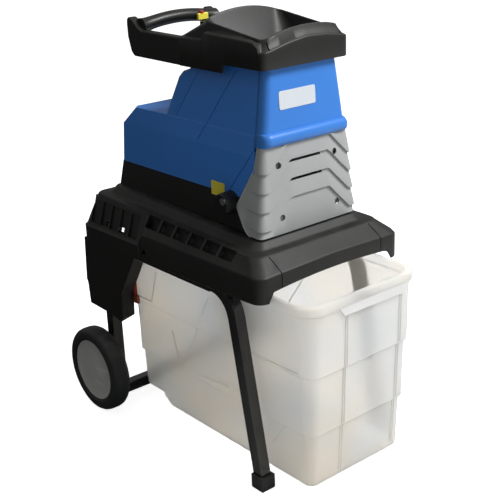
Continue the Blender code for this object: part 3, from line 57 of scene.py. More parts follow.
class Box:
    """Lowest and highest corner of a frame node."""

    def __init__(self, node):
        low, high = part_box(node)
        self.x0, self.y0, self.z0 = low
        self.x1, self.y1, self.z1 = high
        self.half = (self.x1 - self.x0) / 2
        self.middle = (low + high) / 2


BASE = Box("base")
COVER = Box("motor_cover")
PANEL = Box("front_panel")
GRILLE = Box("front_grille")
HOPPER = Box("hopper")
ARM = Box("left_handle_arm")
GRIP = Box("handle_grip")
BIN = Box("bin")
SWITCH = Box("switch_box")
BOSS = Box("adjuster_bush")
SCREW = Box("adjusting_screw")
TYRE = Box("right_tyre")
LEG_COVER = Box("right_leg_cover")
PLATE = Box("front_plate")
STOP = Box("stop_button")
SIDES = (("left", -1), ("right", 1))
BODY_OF = {node: body for body, nodes in frame["record"]["behaviour"]["bodies"].items() for node in nodes}
SLOT_OF = {part["node"]: part["material_slot"] for part in frame["record"]["subparts"]}


# ================================================================ node groups
def group(name, inputs, outputs):
    """An empty shader group; inputs are (name, default), where a tuple is a colour, outputs (name, kind)."""
    tree = bpy.data.node_groups.new(name, "ShaderNodeTree")
    for label, default in inputs:
        kind = "NodeSocketColor" if isinstance(default, tuple) else "NodeSocketFloat"
        tree.interface.new_socket(label, in_out="INPUT", socket_type=kind).default_value = default
    for label, kind in outputs:
        tree.interface.new_socket(label, in_out="OUTPUT", socket_type=kind)
    return tree, tree.nodes.new("NodeGroupInput"), tree.nodes.new("NodeGroupOutput")


def join(tree, *pairs):
    """Link each pair of an output and an input."""
    for start, end in pairs:
        tree.links.new(start, end)


def noise(tree, scale, detail=3.0, roughness=0.5):
    """A noise pattern on object coordinates; scale is a number or a socket."""
    place = tree.nodes.new("ShaderNodeTexCoord")
    node = tree.nodes.new("ShaderNodeTexNoise")
    node.inputs["Detail"].default_value = detail
    node.inputs["Roughness"].default_value = roughness
    join(tree, (place.outputs["Object"], node.inputs["Vector"]))
    if isinstance(scale, (int, float)):
        node.inputs["Scale"].default_value = scale
    else:
        join(tree, (scale, node.inputs["Scale"]))
    return node.outputs["Fac"]


def remap(tree, source, low, high, to_low, to_high):
    """The value source, carried from low and high to to_low and to_high, and clamped."""
    node = tree.nodes.new("ShaderNodeMapRange")
    join(tree, (source, node.inputs["Value"]))
    for label, value in (("From Min", low), ("From Max", high), ("To Min", to_low), ("To Max", to_high)):
        if isinstance(value, (int, float)):
            node.inputs[label].default_value = value
        else:
            join(tree, (value, node.inputs[label]))
    return node.outputs["Result"]


def arithmetic(tree, operation, first, second):
    """The result of one sum on two numbers or sockets."""
    node = tree.nodes.new("ShaderNodeMath")
    node.operation = operation
    for index, value in enumerate((first, second)):
        if isinstance(value, (int, float)):
            node.inputs[index].default_value = value
        else:
            join(tree, (value, node.inputs[index]))
    return node.outputs[0]


def mixed(tree, amount, first, second):
    """A colour between first and second."""
    node = tree.nodes.new("ShaderNodeMix")
    node.data_type = "RGBA"
    colours = [socket for socket in node.inputs if socket.type == "RGBA"]
    if isinstance(amount, (int, float)):
        node.inputs["Factor"].default_value = amount
    else:
        join(tree, (amount, node.inputs["Factor"]))
    for socket, value in zip(colours, (first, second)):
        if isinstance(value, tuple):
            socket.default_value = value
        else:
            join(tree, (value, socket))
    return [socket for socket in node.outputs if socket.type == "RGBA"][0]


def make_moulded_grain():
    """Spark-eroded plastic skin: a fine bump, and a roughness that drifts a little."""
    inputs = [("Grain Scale", 900.0), ("Roughness", 0.5), ("Roughness Drift", 0.06)]
    outputs = [("Height", "NodeSocketFloat"), ("Roughness", "NodeSocketFloat")]
    tree, given, out = group("moulded_grain", inputs, outputs)
    fine = noise(tree, given.outputs["Grain Scale"], 2.0, 0.6)
    broad = noise(tree, 9.0, 2.0)
    swing = arithmetic(tree, "SUBTRACT", broad, 0.5)
    drift = arithmetic(tree, "MULTIPLY", swing, given.outputs["Roughness Drift"])
    rough = arithmetic(tree, "ADD", given.outputs["Roughness"], drift)
    join(tree, (fine, out.inputs["Height"]), (rough, out.inputs["Roughness"]))
    return tree


def make_tone_drift():
    """A slow change between two tones of one colour, with fine flecks."""
    grey, dark_grey = (0.5, 0.5, 0.5, 1.0), (0.4, 0.4, 0.4, 1.0)
    inputs = [("Light", grey), ("Dark", dark_grey), ("Scale", 6.0), ("Flecks", 0.1)]
    tree, given, out = group("tone_drift", inputs, [("Color", "NodeSocketColor")])
    broad = remap(tree, noise(tree, given.outputs["Scale"], 3.0), 0.35, 0.65, 0.0, 1.0)
    fleck = remap(tree, noise(tree, 420.0, 2.0), 0.62, 0.72, 0.0, given.outputs["Flecks"])
    base = mixed(tree, broad, given.outputs["Light"], given.outputs["Dark"])
    join(tree, (mixed(tree, fleck, base, given.outputs["Light"]), out.inputs["Color"]))
    return tree


def make_settled_dust():
    """Pale dust on faces that look up, thicker in patches: a mask for colour and roughness."""
    inputs = [("Amount", 0.2), ("Patch Scale", 30.0)]
    tree, given, out = group("settled_dust", inputs, [("Mask", "NodeSocketFloat")])
    place = tree.nodes.new("ShaderNodeNewGeometry")
    split = tree.nodes.new("ShaderNodeSeparateXYZ")
    join(tree, (place.outputs["Normal"], split.inputs["Vector"]))
    upward = remap(tree, split.outputs["Z"], 0.3, 1.0, 0.0, 1.0)
    patches = remap(tree, noise(tree, given.outputs["Patch Scale"], 4.0), 0.38, 0.7, 0.0, 1.0)
    lying = arithmetic(tree, "MULTIPLY", upward, patches)
    mask = arithmetic(tree, "MULTIPLY", lying, given.outputs["Amount"])
    join(tree, (mask, out.inputs["Mask"]))
    return tree


def make_fine_scratches():
    """Long thin rub marks, drawn out along the axes with a low stretch."""
    inputs = [("Amount", 0.15), ("Scale", 40.0), ("Stretch X", 1.0), ("Stretch Y", 1.0), ("Stretch Z", 1.0)]
    tree, given, out = group("fine_scratches", inputs, [("Mask", "NodeSocketFloat")])
    place = tree.nodes.new("ShaderNodeTexCoord")
    mapping = tree.nodes.new("ShaderNodeMapping")
    stretch = tree.nodes.new("ShaderNodeCombineXYZ")
    pattern = tree.nodes.new("ShaderNodeTexNoise")
    pattern.inputs["Detail"].default_value = 5.0
    join(
        tree,
        (given.outputs["Stretch X"], stretch.inputs["X"]),
        (given.outputs["Stretch Y"], stretch.inputs["Y"]),
        (given.outputs["Stretch Z"], stretch.inputs["Z"]),
        (stretch.outputs["Vector"], mapping.inputs["Scale"]),
        (place.outputs["Object"], mapping.inputs["Vector"]),
        (mapping.outputs["Vector"], pattern.inputs["Vector"]),
        (given.outputs["Scale"], pattern.inputs["Scale"]),
    )
    lines = remap(tree, pattern.outputs["Fac"], 0.56, 0.70, 0.0, 1.0)
    join(tree, (arithmetic(tree, "MULTIPLY", lines, given.outputs["Amount"]), out.inputs["Mask"]))
    return tree


GROUPS = {
    "grain": make_moulded_grain(),
    "tone": make_tone_drift(),
    "dust": make_settled_dust(),
    "scratches": make_fine_scratches(),
}


# ================================================================ materials
DUST = (0.42, 0.39, 0.34, 1.0)
FLECKS = 0.12
DUST_PATCHES = 26.0  # patch scale of the dust
BUMP_HEIGHT = 0.0004


def place_group(tree, name, **values):
    """Place a shared group in a material; a socket's spaces are underscores in values."""
    node = tree.nodes.new("ShaderNodeGroup")
    node.node_tree = GROUPS[name]
    for label, value in values.items():
        node.inputs[label.replace("_", " ")].default_value = value
    return node


def finish(
    name,
    light,
    dark,
    roughness=0.5,
    grain=(900.0, 0.25),
    drift=0.06,
    dust=0.0,
    scratches=0.0,
    stretch=(1.0, 1.0, 1.0),
    tone_scale=6.0,
    metallic=0.0,
    **sockets,
):
    """A material from the shared groups: two tones, moulded grain, dust on top and rub marks.

    grain is the grain's scale and strength, and sockets are plain values of the shader's own sockets.
    """
    material = bpy.data.materials.new(name)
    material.use_nodes = True
    tree = material.node_tree
    shader = tree.nodes["Principled BSDF"]
    tone = place_group(tree, "tone", Light=(*light, 1.0), Dark=(*dark, 1.0), Scale=tone_scale, Flecks=FLECKS)
    surface = place_group(tree, "grain", Grain_Scale=grain[0], Roughness=roughness, Roughness_Drift=drift)
    colour, rough = tone.outputs["Color"], surface.outputs["Roughness"]
    if dust:
        mask = place_group(tree, "dust", Amount=dust, Patch_Scale=DUST_PATCHES).outputs["Mask"]
        colour = mixed(tree, mask, colour, DUST)
        rough = arithmetic(tree, "ADD", rough, arithmetic(tree, "MULTIPLY", mask, 0.5))
    if scratches:
        pull = dict(zip(("Stretch_X", "Stretch_Y", "Stretch_Z"), stretch))
        marks = place_group(tree, "scratches", Amount=scratches, **pull).outputs["Mask"]
        paler = tuple(min(1.0, c * 2.2 + 0.03) for c in light)
        colour = mixed(tree, marks, colour, (*paler, 1.0))
        rough = arithmetic(tree, "ADD", rough, arithmetic(tree, "MULTIPLY", marks, 0.35))
    bump = tree.nodes.new("ShaderNodeBump")
    bump.inputs["Strength"].default_value = grain[1]
    bump.inputs["Distance"].default_value = BUMP_HEIGHT
    join(
        tree,
        (surface.outputs["Height"], bump.inputs["Height"]),
        (bump.outputs["Normal"], shader.inputs["Normal"]),
        (colour, shader.inputs["Base Color"]),
        (rough, shader.inputs["Roughness"]),
    )
    shader.inputs["Metallic"].default_value = metallic
    for label, value in sockets.items():
        shader.inputs[label.replace("_", " ")].default_value = value
    return material


BLACK = finish(
    "black_moulding", (0.011, 0.011, 0.010), (0.008, 0.008, 0.0075), 0.47, (1100.0, 0.35),
    dust=0.03, Specular_IOR_Level=0.34,
)
BLACK_FINE = finish(
    "black_fine_moulding", (0.010, 0.010, 0.0095), (0.0075, 0.0075, 0.007), 0.36, (1500.0, 0.2),
    dust=0.03, Specular_IOR_Level=0.35,
)
BLUE = finish(
    "blue_moulding", (0.042, 0.195, 0.60), (0.038, 0.183, 0.57), 0.38, (1300.0, 0.12),
    Specular_IOR_Level=0.30,
)
GREY = finish(
    "grey_moulding", (0.345, 0.355, 0.352), (0.320, 0.330, 0.330), 0.46, (1000.0, 0.18),
    dust=0.03, Specular_IOR_Level=0.35,
)
# painted reflection and shade: the bin's warm and cool tones, drifting at random, stand for warm reflections
# and bluish shade
MILKY = finish(
    "milky_polypropylene", (0.870, 0.830, 0.765), (0.805, 0.820, 0.825), 0.38, (500.0, 0.06),
    tone_scale=4.5, Transmission_Weight=0.68, IOR=1.12, Specular_IOR_Level=0.4,
)
MILKY_RIM = finish(
    "milky_rim", (0.86, 0.86, 0.855), (0.82, 0.825, 0.82), 0.36, (600.0, 0.05),
    Transmission_Weight=0.35, IOR=1.15,
)
PAINT = finish(
    "black_gloss_paint", (0.012, 0.012, 0.012), (0.009, 0.009, 0.009), 0.20, (160.0, 0.10),
    scratches=0.10, stretch=(3.0, 3.0, 0.3), Coat_Weight=0.3,
)
TYRE_RUBBER = finish(
    "tyre_rubber", (0.014, 0.016, 0.017), (0.010, 0.011, 0.012), 0.62, (700.0, 0.4), dust=0.12
)
CAP_RUBBER = finish(
    "foot_rubber", (0.020, 0.020, 0.020), (0.014, 0.014, 0.014), 0.55, (800.0, 0.3), dust=0.15
)
HUB_PLASTIC = finish(
    "hub_plastic", (0.520, 0.525, 0.505), (0.430, 0.435, 0.420), 0.42, (900.0, 0.2),
    scratches=0.2, stretch=(1.0, 0.4, 2.0),
)
STEEL = finish(
    "ground_steel", (0.56, 0.56, 0.55), (0.46, 0.46, 0.46), 0.32, (300.0, 0.15),
    scratches=0.2, metallic=1.0,
)
CAST = finish("cast_metal", (0.50, 0.51, 0.52), (0.40, 0.41, 0.42), 0.55, (420.0, 0.6), metallic=0.9)
MOTOR_IRON = finish("motor_iron", (0.23, 0.235, 0.24), (0.18, 0.185, 0.19), 0.6, (380.0, 0.6), metallic=0.6)
PALE_PLATE = finish("pale_plate", (0.58, 0.62, 0.66), (0.55, 0.59, 0.63), 0.35, (900.0, 0.05))
YELLOW = finish("yellow_sticker", (0.80, 0.70, 0.08), (0.74, 0.63, 0.06), 0.4, (900.0, 0.05))
RED = finish("red_plastic", (0.42, 0.035, 0.02), (0.35, 0.03, 0.018), 0.4, (900.0, 0.15))
LATCH_RED = finish("latch_plastic", (0.26, 0.055, 0.022), (0.20, 0.040, 0.016), 0.45, (900.0, 0.15))
GREEN = finish("green_plastic", (0.03, 0.30, 0.06), (0.025, 0.25, 0.05), 0.4, (900.0, 0.15))

NODE_FINISH = {
    "black_plastic": BLACK,
    "blue_plastic": BLUE,
    "grey_plastic": GREY,
    "pale_plate": PALE_PLATE,
    "painted_steel": PAINT,
    "foot_rubber": CAP_RUBBER,
    "tyre_rubber": TYRE_RUBBER,
    "hub_plastic": HUB_PLASTIC,
    "milky_plastic": MILKY,
    "steel": STEEL,
    "cast_aluminium": CAST,
    "motor_iron": MOTOR_IRON,
    "red_plastic": RED,
    "green_plastic": GREEN,
}


def paint_frame_nodes():
    """Give each frame node the finish of its slot."""
    for name, node in NODES.items():
        node.data.materials.clear()
        node.data.materials.append(NODE_FINISH[SLOT_OF[name]])


# ================================================================ modelling tools
CREASE = 38  # degrees; edges sharper than this stay hard
FLAT = 0.5  # degrees; faces flatter than this are one face
ALL_FOLDS = 12  # degrees; rounds every fold of a moulded cover


def piece(name, mesh, material, stands_for=(), body=None, crease=CREASE):
    """Make a finished bmesh an object that rides on its body and stands for the frame nodes it replaces."""
    stands_for = [stands_for] if isinstance(stands_for, str) else list(stands_for)
    data = bpy.data.meshes.new(name)
    mesh.to_mesh(data)
    mesh.free()
    data.shade_smooth()
    data.set_sharp_from_angle(angle=math.radians(crease))
    data.materials.append(material)
    made = bpy.data.objects.new(name, data)
    bpy.context.scene.collection.objects.link(made)
    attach(made, body or BODY_OF[stands_for[0]])
    if stands_for:
        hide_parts(*stands_for)
    return made


def soften(made, width, segments=2, angle=32):
    """Round the hard edges of a piece and keep its flat faces flat."""
    bevel = made.modifiers.new("edge rounding", "BEVEL")
    bevel.width = width
    bevel.segments = segments
    bevel.limit_method = "ANGLE"
    bevel.angle_limit = math.radians(angle)
    bevel.harden_normals = True
    return made


def walled(made, wall):
    """Give a surface a wall inwards."""
    thick = made.modifiers.new("wall", "SOLIDIFY")
    thick.thickness = wall
    thick.offset = -1.0
    return made


def skin(rows, closed=True, loop=False, caps=False):
    """Extrude an outline from row to row; loop joins the last to the first, caps closes both ends.

    closed joins the ends of each row, so that a tube comes out instead of a sheet.
    """
    mesh = bmesh.new()
    row = [mesh.verts.new(point) for point in rows[0]]
    ends = row[1:] + row[:1] if closed else row[1:]
    edges = [mesh.edges.new(pair) for pair in zip(row, ends)]
    first_edges = edges
    if caps:
        mesh.faces.new(row)
    for following in rows[1:]:
        made = bmesh.ops.extrude_edge_only(mesh, edges=edges)["geom"]
        new = {item for item in made if isinstance(item, bmesh.types.BMVert)}
        twins = []
        for vert, place in zip(row, following):
            twin = next(e.other_vert(vert) for e in vert.link_edges if e.other_vert(vert) in new)
            twin.co = place
            twins.append(twin)
        row = twins
        edges = [item for item in made if isinstance(item, bmesh.types.BMEdge) and set(item.verts) <= new]
    if loop:
        bmesh.ops.bridge_loops(mesh, edges=first_edges + edges)
    if caps:
        mesh.faces.new(row)
    bmesh.ops.recalc_face_normals(mesh, faces=mesh.faces)
    return mesh


def arc(centre, radius, start, turn, steps):
    """Points of an arc in a plane, angles in degrees."""
    points = []
    for step in range(steps + 1):
        angle = math.radians(start + turn * step / steps)
        points.append((centre[0] + radius * math.cos(angle), centre[1] + radius * math.sin(angle)))
    return points


def rounded_plan(half, front, rear, radius, height, steps=8, sides=(), ends=0):
    """A rounded rectangle in plan; height is a number or a function of (x, y).

    sides lists extra stations along both long sides, as shares of their straight length from the front,
    and ends is how many parts each short side has.
    """
    straight = rear - front - 2 * radius
    sides = [front + radius + straight * share for share in sides]
    inner = half - radius
    plan = arc((inner, rear - radius), radius, 0, 90, steps)
    plan += [(inner - 2 * inner * i / ends, rear) for i in range(1, ends)]
    plan += arc((-inner, rear - radius), radius, 90, 90, steps)
    plan += [(-half, y) for y in sorted(sides, reverse=True)]
    plan += arc((-inner, front + radius), radius, 180, 90, steps)
    plan += [(-inner + 2 * inner * i / ends, front) for i in range(1, ends)]
    plan += arc((inner, front + radius), radius, 270, 90, steps)
    plan += [(half, y) for y in sorted(sides)]
    return [Vector((x, y, height(x, y) if callable(height) else height)) for x, y in plan]


def shares(stations, front, rear, radius):
    """Stations in y as shares of the straight part of a side."""
    return [(y - front - radius) / (rear - front - 2 * radius) for y in sorted(stations)]


def lifted(by, source):
    """The height function source, raised by a constant."""
    return lambda x, y: source(x, y) + by


def along(value, *stations):
    """Read a height or a width off a broken line of (place, value) stations, sorted by place."""
    if value <= stations[0][0]:
        return stations[0][1]
    for (a, low), (b, high) in zip(stations, stations[1:]):
        if value <= b:
            return low + (high - low) * (value - a) / (b - a)
    return stations[-1][1]


def block(corner, opposite):
    """A box between two opposite corners, given in any order."""
    low = Vector([min(pair) for pair in zip(corner, opposite)])
    high = Vector([max(pair) for pair in zip(corner, opposite)])
    mesh = bmesh.new()
    size = Matrix.Diagonal((*(high - low), 1.0))
    bmesh.ops.create_cube(mesh, size=1.0, matrix=Matrix.Translation((low + high) / 2) @ size)
    return mesh


def slab(outline, axis, low, high):
    """A flat outline extruded along an axis; the outline's points are in the other two axes' order."""
    mesh = bmesh.new()
    index = "XYZ".index(axis)
    corners = []
    for pair in outline:
        place = list(pair)
        place.insert(index, low)
        corners.append(mesh.verts.new(place))
    far_side = bmesh.ops.extrude_face_region(mesh, geom=[mesh.faces.new(corners)])["geom"]
    move = Vector((0, 0, 0))
    move[index] = high - low
    bmesh.ops.translate(mesh, verts=[v for v in far_side if isinstance(v, bmesh.types.BMVert)], vec=move)
    bmesh.ops.recalc_face_normals(mesh, faces=mesh.faces)
    return mesh


def flipped(outline, sign):
    """An outline of (x, z) on the side that sign names."""
    return [(sign * x, z) for x, z in outline]


def turned(profile, start_x, centre, steps=96):
    """Spin a profile of (radius, distance along X) about a line parallel to X through centre."""
    mesh = bmesh.new()
    row = [mesh.verts.new((start_x + run, centre[0] + radius, centre[1])) for radius, run in profile]
    edges = [mesh.edges.new((a, b)) for a, b in zip(row, row[1:])]
    bmesh.ops.spin(
        mesh,
        geom=row + edges,
        cent=(0, centre[0], centre[1]),
        axis=(1, 0, 0),
        angle=2 * math.pi,
        steps=steps,
        use_merge=True,
    )
    bmesh.ops.remove_doubles(mesh, verts=mesh.verts, dist=0.00001)
    bmesh.ops.recalc_face_normals(mesh, faces=mesh.faces)
    return mesh


def drum(axis, start, length, radius, sides=32, radius_end=None):
    """A cylinder, or a cone with radius_end, that runs from start along X, Y or Z."""
    mesh = bmesh.new()
    turns = {"X": (math.pi / 2, "Y"), "Y": (-math.pi / 2, "X"), "Z": (0.0, "Z")}
    angle, hinge = turns[axis]
    turn = Matrix.Rotation(angle, 4, hinge)
    place = Matrix.Translation(Vector(start) + turn @ Vector((0, 0, length / 2))) @ turn
    last = radius if radius_end is None else radius_end
    bmesh.ops.create_cone(
        mesh, cap_ends=True, segments=sides, radius1=radius, radius2=last, depth=length, matrix=place
    )
    return mesh


def added(target, other):
    """Put another bmesh into target as further shells."""
    data = bpy.data.meshes.new("joined")
    other.to_mesh(data)
    other.free()
    target.from_mesh(data)
    bpy.data.meshes.remove(data)
    return target


def carved(made, tools):
    """Cut bmesh tools out of a piece in one operation, and leave its mesh final."""
    data = bpy.data.meshes.new("tool")
    together = bmesh.new()
    for tool in tools:
        bmesh.ops.recalc_face_normals(tool, faces=tool.faces)
        added(together, tool)
    together.to_mesh(data)
    together.free()
    helper = bpy.data.objects.new("tool", data)
    bpy.context.scene.collection.objects.link(helper)
    boolean = made.modifiers.new("cut", "BOOLEAN")
    boolean.operation = "DIFFERENCE"
    boolean.solver = "EXACT"
    boolean.use_self = True
    boolean.use_hole_tolerant = True
    boolean.object = helper
    bpy.context.view_layer.update()
    final = bpy.data.meshes.new_from_object(made.evaluated_get(bpy.context.evaluated_depsgraph_get()))
    made.modifiers.clear()
    old = made.data
    made.data = final
    name = old.name
    bpy.data.meshes.remove(old)
    final.name = name
    bpy.data.objects.remove(helper)
    bpy.data.meshes.remove(data)
    final.set_sharp_from_angle(angle=math.radians(CREASE))
    return made


def node_copy(node):
    """A frame node's shape as one clean mesh, with its flat faces whole again."""
    mesh = bmesh.new()
    mesh.from_mesh(NODES[node].data)
    bmesh.ops.remove_doubles(mesh, verts=mesh.verts, dist=0.00002)
    bmesh.ops.dissolve_limit(
        mesh, angle_limit=math.radians(FLAT), verts=mesh.verts, edges=mesh.edges, delimit={"NORMAL"}
    )
    return mesh


def rounded_node(node, width, material=None, segments=2):
    """A frame node with its hard edges rounded, in the same place."""
    material = material or NODE_FINISH[SLOT_OF[node]]
    return soften(piece(f"{node}_rounded", node_copy(node), material, node), width, segments)


# ================================================================ deck
STEP_Y = 0.112  # where the rear third's lower rim begins
DECK_RADIUS = 0.025
DECK_WALL = 0.0032
DECK_STATIONS = [-0.24 + 0.0176 * i for i in range(20)]
DECK_STATIONS += [STEP_Y - 0.0012, STEP_Y + 0.0006]
DECK_STATIONS += [0.125 + 0.019 * i for i in range(10)]
DECK_SIDES = shares(DECK_STATIONS, BASE.y0, BASE.y1, DECK_RADIUS)
DECK_ENDS = 28
FRONT_REACH = BASE.y0 + 0.022  # ahead of this the front's own lines rule the edge
POST_X = 0.157  # where the front's low corner posts begin
CORNER_BLOCK_X = 0.135  # groove between the front's middle and its corner blocks
TOP_SLOPE = ((BASE.y0, 0.492), (BASE.y1, 0.512))


def deck_low(x, y):
    """Lower edge of the deck's wall."""
    if y < FRONT_REACH:
        post = BASE.z0 + 0.012
        middle = BASE.z0 + 0.040 - 0.008 * (x / POST_X) ** 2
        return post if abs(x) > POST_X else middle
    low = BASE.z0
    return along(y, (FRONT_REACH, low + 0.012), (-0.20, low + 0.010), (STEP_Y, low + 0.001), (0.34, low))


def deck_crease(x, y):
    """Height of the fold between the wall and the slope."""
    if y < FRONT_REACH:
        return 0.472 - 0.006 * abs(x) / BASE.half
    return along(y, (-0.26, 0.468), (STEP_Y - 0.004, 0.466), (STEP_Y, 0.440), (0.34, 0.437))


def deck_top(x, y):
    """Height of the deck's flat top, which rises to the rear."""
    return along(y, *TOP_SLOPE)


def build_deck():
    """The black deck: an apron with a fold, a slope, the flat top and the plinth under the housing."""

    def ring(inset, height, radius, front_in=0.0, rear_in=0.0):
        front, rear = BASE.y0 + front_in, BASE.y1 - rear_in
        return rounded_plan(BASE.half - inset, front, rear, radius, height, sides=DECK_SIDES, ends=DECK_ENDS)

    def plinth(half, front_in, rear_in, radius, lift):
        return ring(BASE.half - half, lifted(lift, deck_top), radius, front_in, rear_in)

    def rim_out(points, out):
        for point in points:
            if point.y > STEP_Y and abs(point.x) > BASE.half - 0.02:
                point.x += math.copysign(out, point.x)
        return points

    wall = DECK_WALL
    outer = [
        rim_out(ring(0.0012, deck_low, 0.024, 0.0012, 0.0012), 0.0015),
        rim_out(ring(0.0, lifted(0.0015, deck_low), DECK_RADIUS), 0.002),
        rim_out(ring(0.0, lifted(-0.0030, deck_crease), DECK_RADIUS), 0.002),
        ring(0.0008, lifted(-0.0008, deck_crease), DECK_RADIUS, 0.0008, 0.0008),
        ring(0.0028, lifted(0.0012, deck_crease), 0.024, 0.0030, 0.0026),
        ring(0.0235, lifted(-0.0035, deck_top), 0.022, 0.0350, 0.0285),
        ring(0.0250, lifted(-0.0010, deck_top), 0.022, 0.0375, 0.0305),
        ring(0.0285, deck_top, 0.021, 0.0410, 0.0335),
    ]
    stand = [
        plinth(0.1520, 0.052, 0.044, 0.024, 0.0),
        plinth(0.1455, 0.058, 0.048, 0.024, 0.003),
        plinth(0.1370, 0.064, 0.056, 0.022, 0.014),
        plinth(0.1345, 0.067, 0.059, 0.022, 0.0155),
        plinth(0.1000, 0.100, 0.100, 0.020, 0.0155),
    ]
    inner = [
        plinth(0.1000, 0.100, 0.100, 0.020, 0.0125),
        plinth(0.1310, 0.070, 0.063, 0.020, 0.0105),
        plinth(0.1400, 0.062, 0.054, 0.020, -wall),
        ring(0.0300, lifted(-wall, deck_top), 0.019, 0.0420, 0.0350),
        ring(0.0028 + wall, lifted(-wall, deck_crease), 0.022, 0.0030 + wall, 0.0026 + wall),
        ring(wall, deck_low, 0.022, wall, wall),
    ]
    deck = piece("deck", skin(outer + stand + inner, loop=True), BLACK, "base", crease=30)
    return carved(deck, deck_pockets())


POCKET_REAR = [0.1250 + 0.0372 * i for i in range(5)]  # where each pocket of the rear third begins
POCKET_SIDE = [-0.1900 + 0.0490 * i for i in range(6)]  # and each pocket ahead of it
REAR_POCKET_LONG = 0.0322
SIDE_POCKET_LONG = 0.0420


def deck_pockets():
    """Ribbed pockets on the slopes of both sides, a hand hole ahead of the step, and the grooves in front."""
    edge = BASE.half + 0.010
    inside = BASE.half - 0.010
    top_in, top_out = BASE.half - 0.0240, BASE.half - 0.0150
    rear = [(edge, 0.4450), (inside, 0.4450), (top_in, 0.4930), (top_out, 0.4990), (edge, 0.4990)]
    side = [(0.1825, 0.4660), (0.1760, 0.4660), (0.1660, 0.4830), (0.1660, 0.5200), (0.1825, 0.5200)]
    notch, groove = 0.105, CORNER_BLOCK_X
    cutters = []
    for sign in (-1, 1):
        for start in POCKET_REAR:
            cutters.append(slab(flipped(rear, sign), "Y", start, start + REAR_POCKET_LONG))
        for start in POCKET_SIDE:
            cutters.append(slab(flipped(side, sign), "Y", start, start + SIDE_POCKET_LONG))
        hand = (sign * edge, STEP_Y - 0.024, 0.4210), (sign * (BASE.half - 0.006), STEP_Y - 0.010, 0.4310)
        cutters.append(block(*hand))
        x = sign * notch
        cutters.append(block((x - 0.020, BASE.y1 - 0.010, 0.398), (x + 0.020, BASE.y1 + 0.004, 0.416)))
        x = sign * groove
        cutters.append(block((x - 0.0011, BASE.y0 - 0.004, 0.425), (x + 0.0011, BASE.y0 + 0.047, 0.4905)))
    return cutters


def build_pocket_floors():
    """The wall behind each row of pockets, with the small holes that go right through it."""
    mesh = bmesh.new()
    for sign in (-1, 1):
        rear = [(0.1845, 0.4420), (0.1815, 0.4420), (0.1640, 0.5040), (0.1670, 0.5040)]
        added(mesh, slab(flipped(rear, sign), "Y", 0.122, 0.309))
        ends = []
        for y in (-0.196, 0.105):
            top = deck_top(0, y) - 0.0016
            side = [(0.1850, 0.4560), (0.1780, 0.4560), (0.1625, 0.4800)]
            side += [(0.1625, top), (0.1655, top), (0.1655, 0.4810)]
            ends.append([Vector((x, y, z)) for x, z in flipped(side, sign)])
        added(mesh, skin(ends, caps=True))
    floors = piece("deck_pocket_floors", mesh, BLACK, "base")
    holes = []
    for x in (-0.175, 0.175):
        for y in (0.181, 0.242):
            holes.append(block((x - 0.020, y, 0.4465), (x + 0.020, y + 0.012, 0.4595)))
    return carved(floors, holes)


# ================================================================ grille
GRILLE_LINES = (0.694, 0.657, 0.620, 0.583)  # lower edges of the boards at the middle
GRILLE_DROP = 0.055  # how far those edges have dropped at the corners
GRILLE_TOP = GRILLE.z1 + 0.005  # tucked up behind the roll of the blue front
PROUD = 0.0044  # how far a board's lower edge stands over the next board
CHEEK_BEAD = 0.0016
GRILLE_WALL = 0.0028
CORNER_RADIUS = 0.010
CHEEK_SHARES = (0.0, 0.045, 0.085, 0.45, 0.80)  # places along a cheek, from its rear edge
CORNER_PLACES = 8
HALF_FRONT = 16  # places from a corner to the middle of the front
GRILLE_MIDDLE = len(CHEEK_SHARES) + CORNER_PLACES + HALF_FRONT - 1
GRILLE_PLACES = 2 * GRILLE_MIDDLE + 1
SLOT_LONG = 0.084
SCREW_HALF = 0.0735
SCREW_PLACES = [(-0.003 + sign * SCREW_HALF, 0.650) for sign in (-1, 1)]
SCREW_PLACES += [(0.003 + sign * SCREW_HALF, 0.545) for sign in (-1, 1)]


def chevron(x):
    """How far a board's edge has dropped at this place across the front."""
    return GRILLE_DROP * along(abs(x - 0.003), (0.048, 0.0), (0.052, 0.03), (0.101, 1.0))


def grille_plan(z):
    """Half width, front and the cheek's rear edge of the grille at a height."""
    low, high = GRILLE.z0, GRILLE.z1
    half = along(z, (low, 0.1272), (high, 0.1105))
    front = along(z, (low, GRILLE.y0 + 0.0028), (high, GRILLE.y0 + 0.0075))
    rear = along(z, (low, -0.182), (low + 0.006, -0.168), (0.564, -0.139), (0.651, -0.190), (high, -0.195))
    return half, front, rear


def grille_point(line_z, proud, dropping, place):
    """A point of a row: places run from the left cheek's rear edge round the front to the right one."""
    mirrored = place > GRILLE_MIDDLE
    order = GRILLE_PLACES - 1 - place if mirrored else place
    corner = order - len(CHEEK_SHARES)

    def at(z):
        half, front, rear = grille_plan(z)
        inner = half - CORNER_RADIUS
        back = 0.0
        if corner < 0:
            share = CHEEK_SHARES[order]
            x, y, back = -half, rear + (front + CORNER_RADIUS - rear) * share, 1 - share
            out = Vector((-1, 0, 0))
        elif corner < CORNER_PLACES:
            angle = math.radians(180 + 90 * corner / (CORNER_PLACES - 1))
            out = Vector((math.cos(angle), math.sin(angle), 0))
            x, y = -inner + CORNER_RADIUS * out.x, front + CORNER_RADIUS * (1 + out.y)
        else:
            x, y = -inner + inner * (corner - CORNER_PLACES + 1) / HALF_FRONT, front
            out = Vector((0, -1, 0))
        if mirrored:
            x, out = -x, Vector((-out.x, out.y, 0))
        return x, y, back, out

    x = at(line_z)[0]
    z = line_z - (chevron(x) if dropping else 0.0)
    x, y, back, out = at(max(min(z, GRILLE_TOP), GRILLE.z0))
    fade = max(0.0, 1 - back / 0.5)
    bead = CHEEK_BEAD if back > 0.94 else 0.0
    return Vector((x, y, z)) + out * (proud * fade + bead)


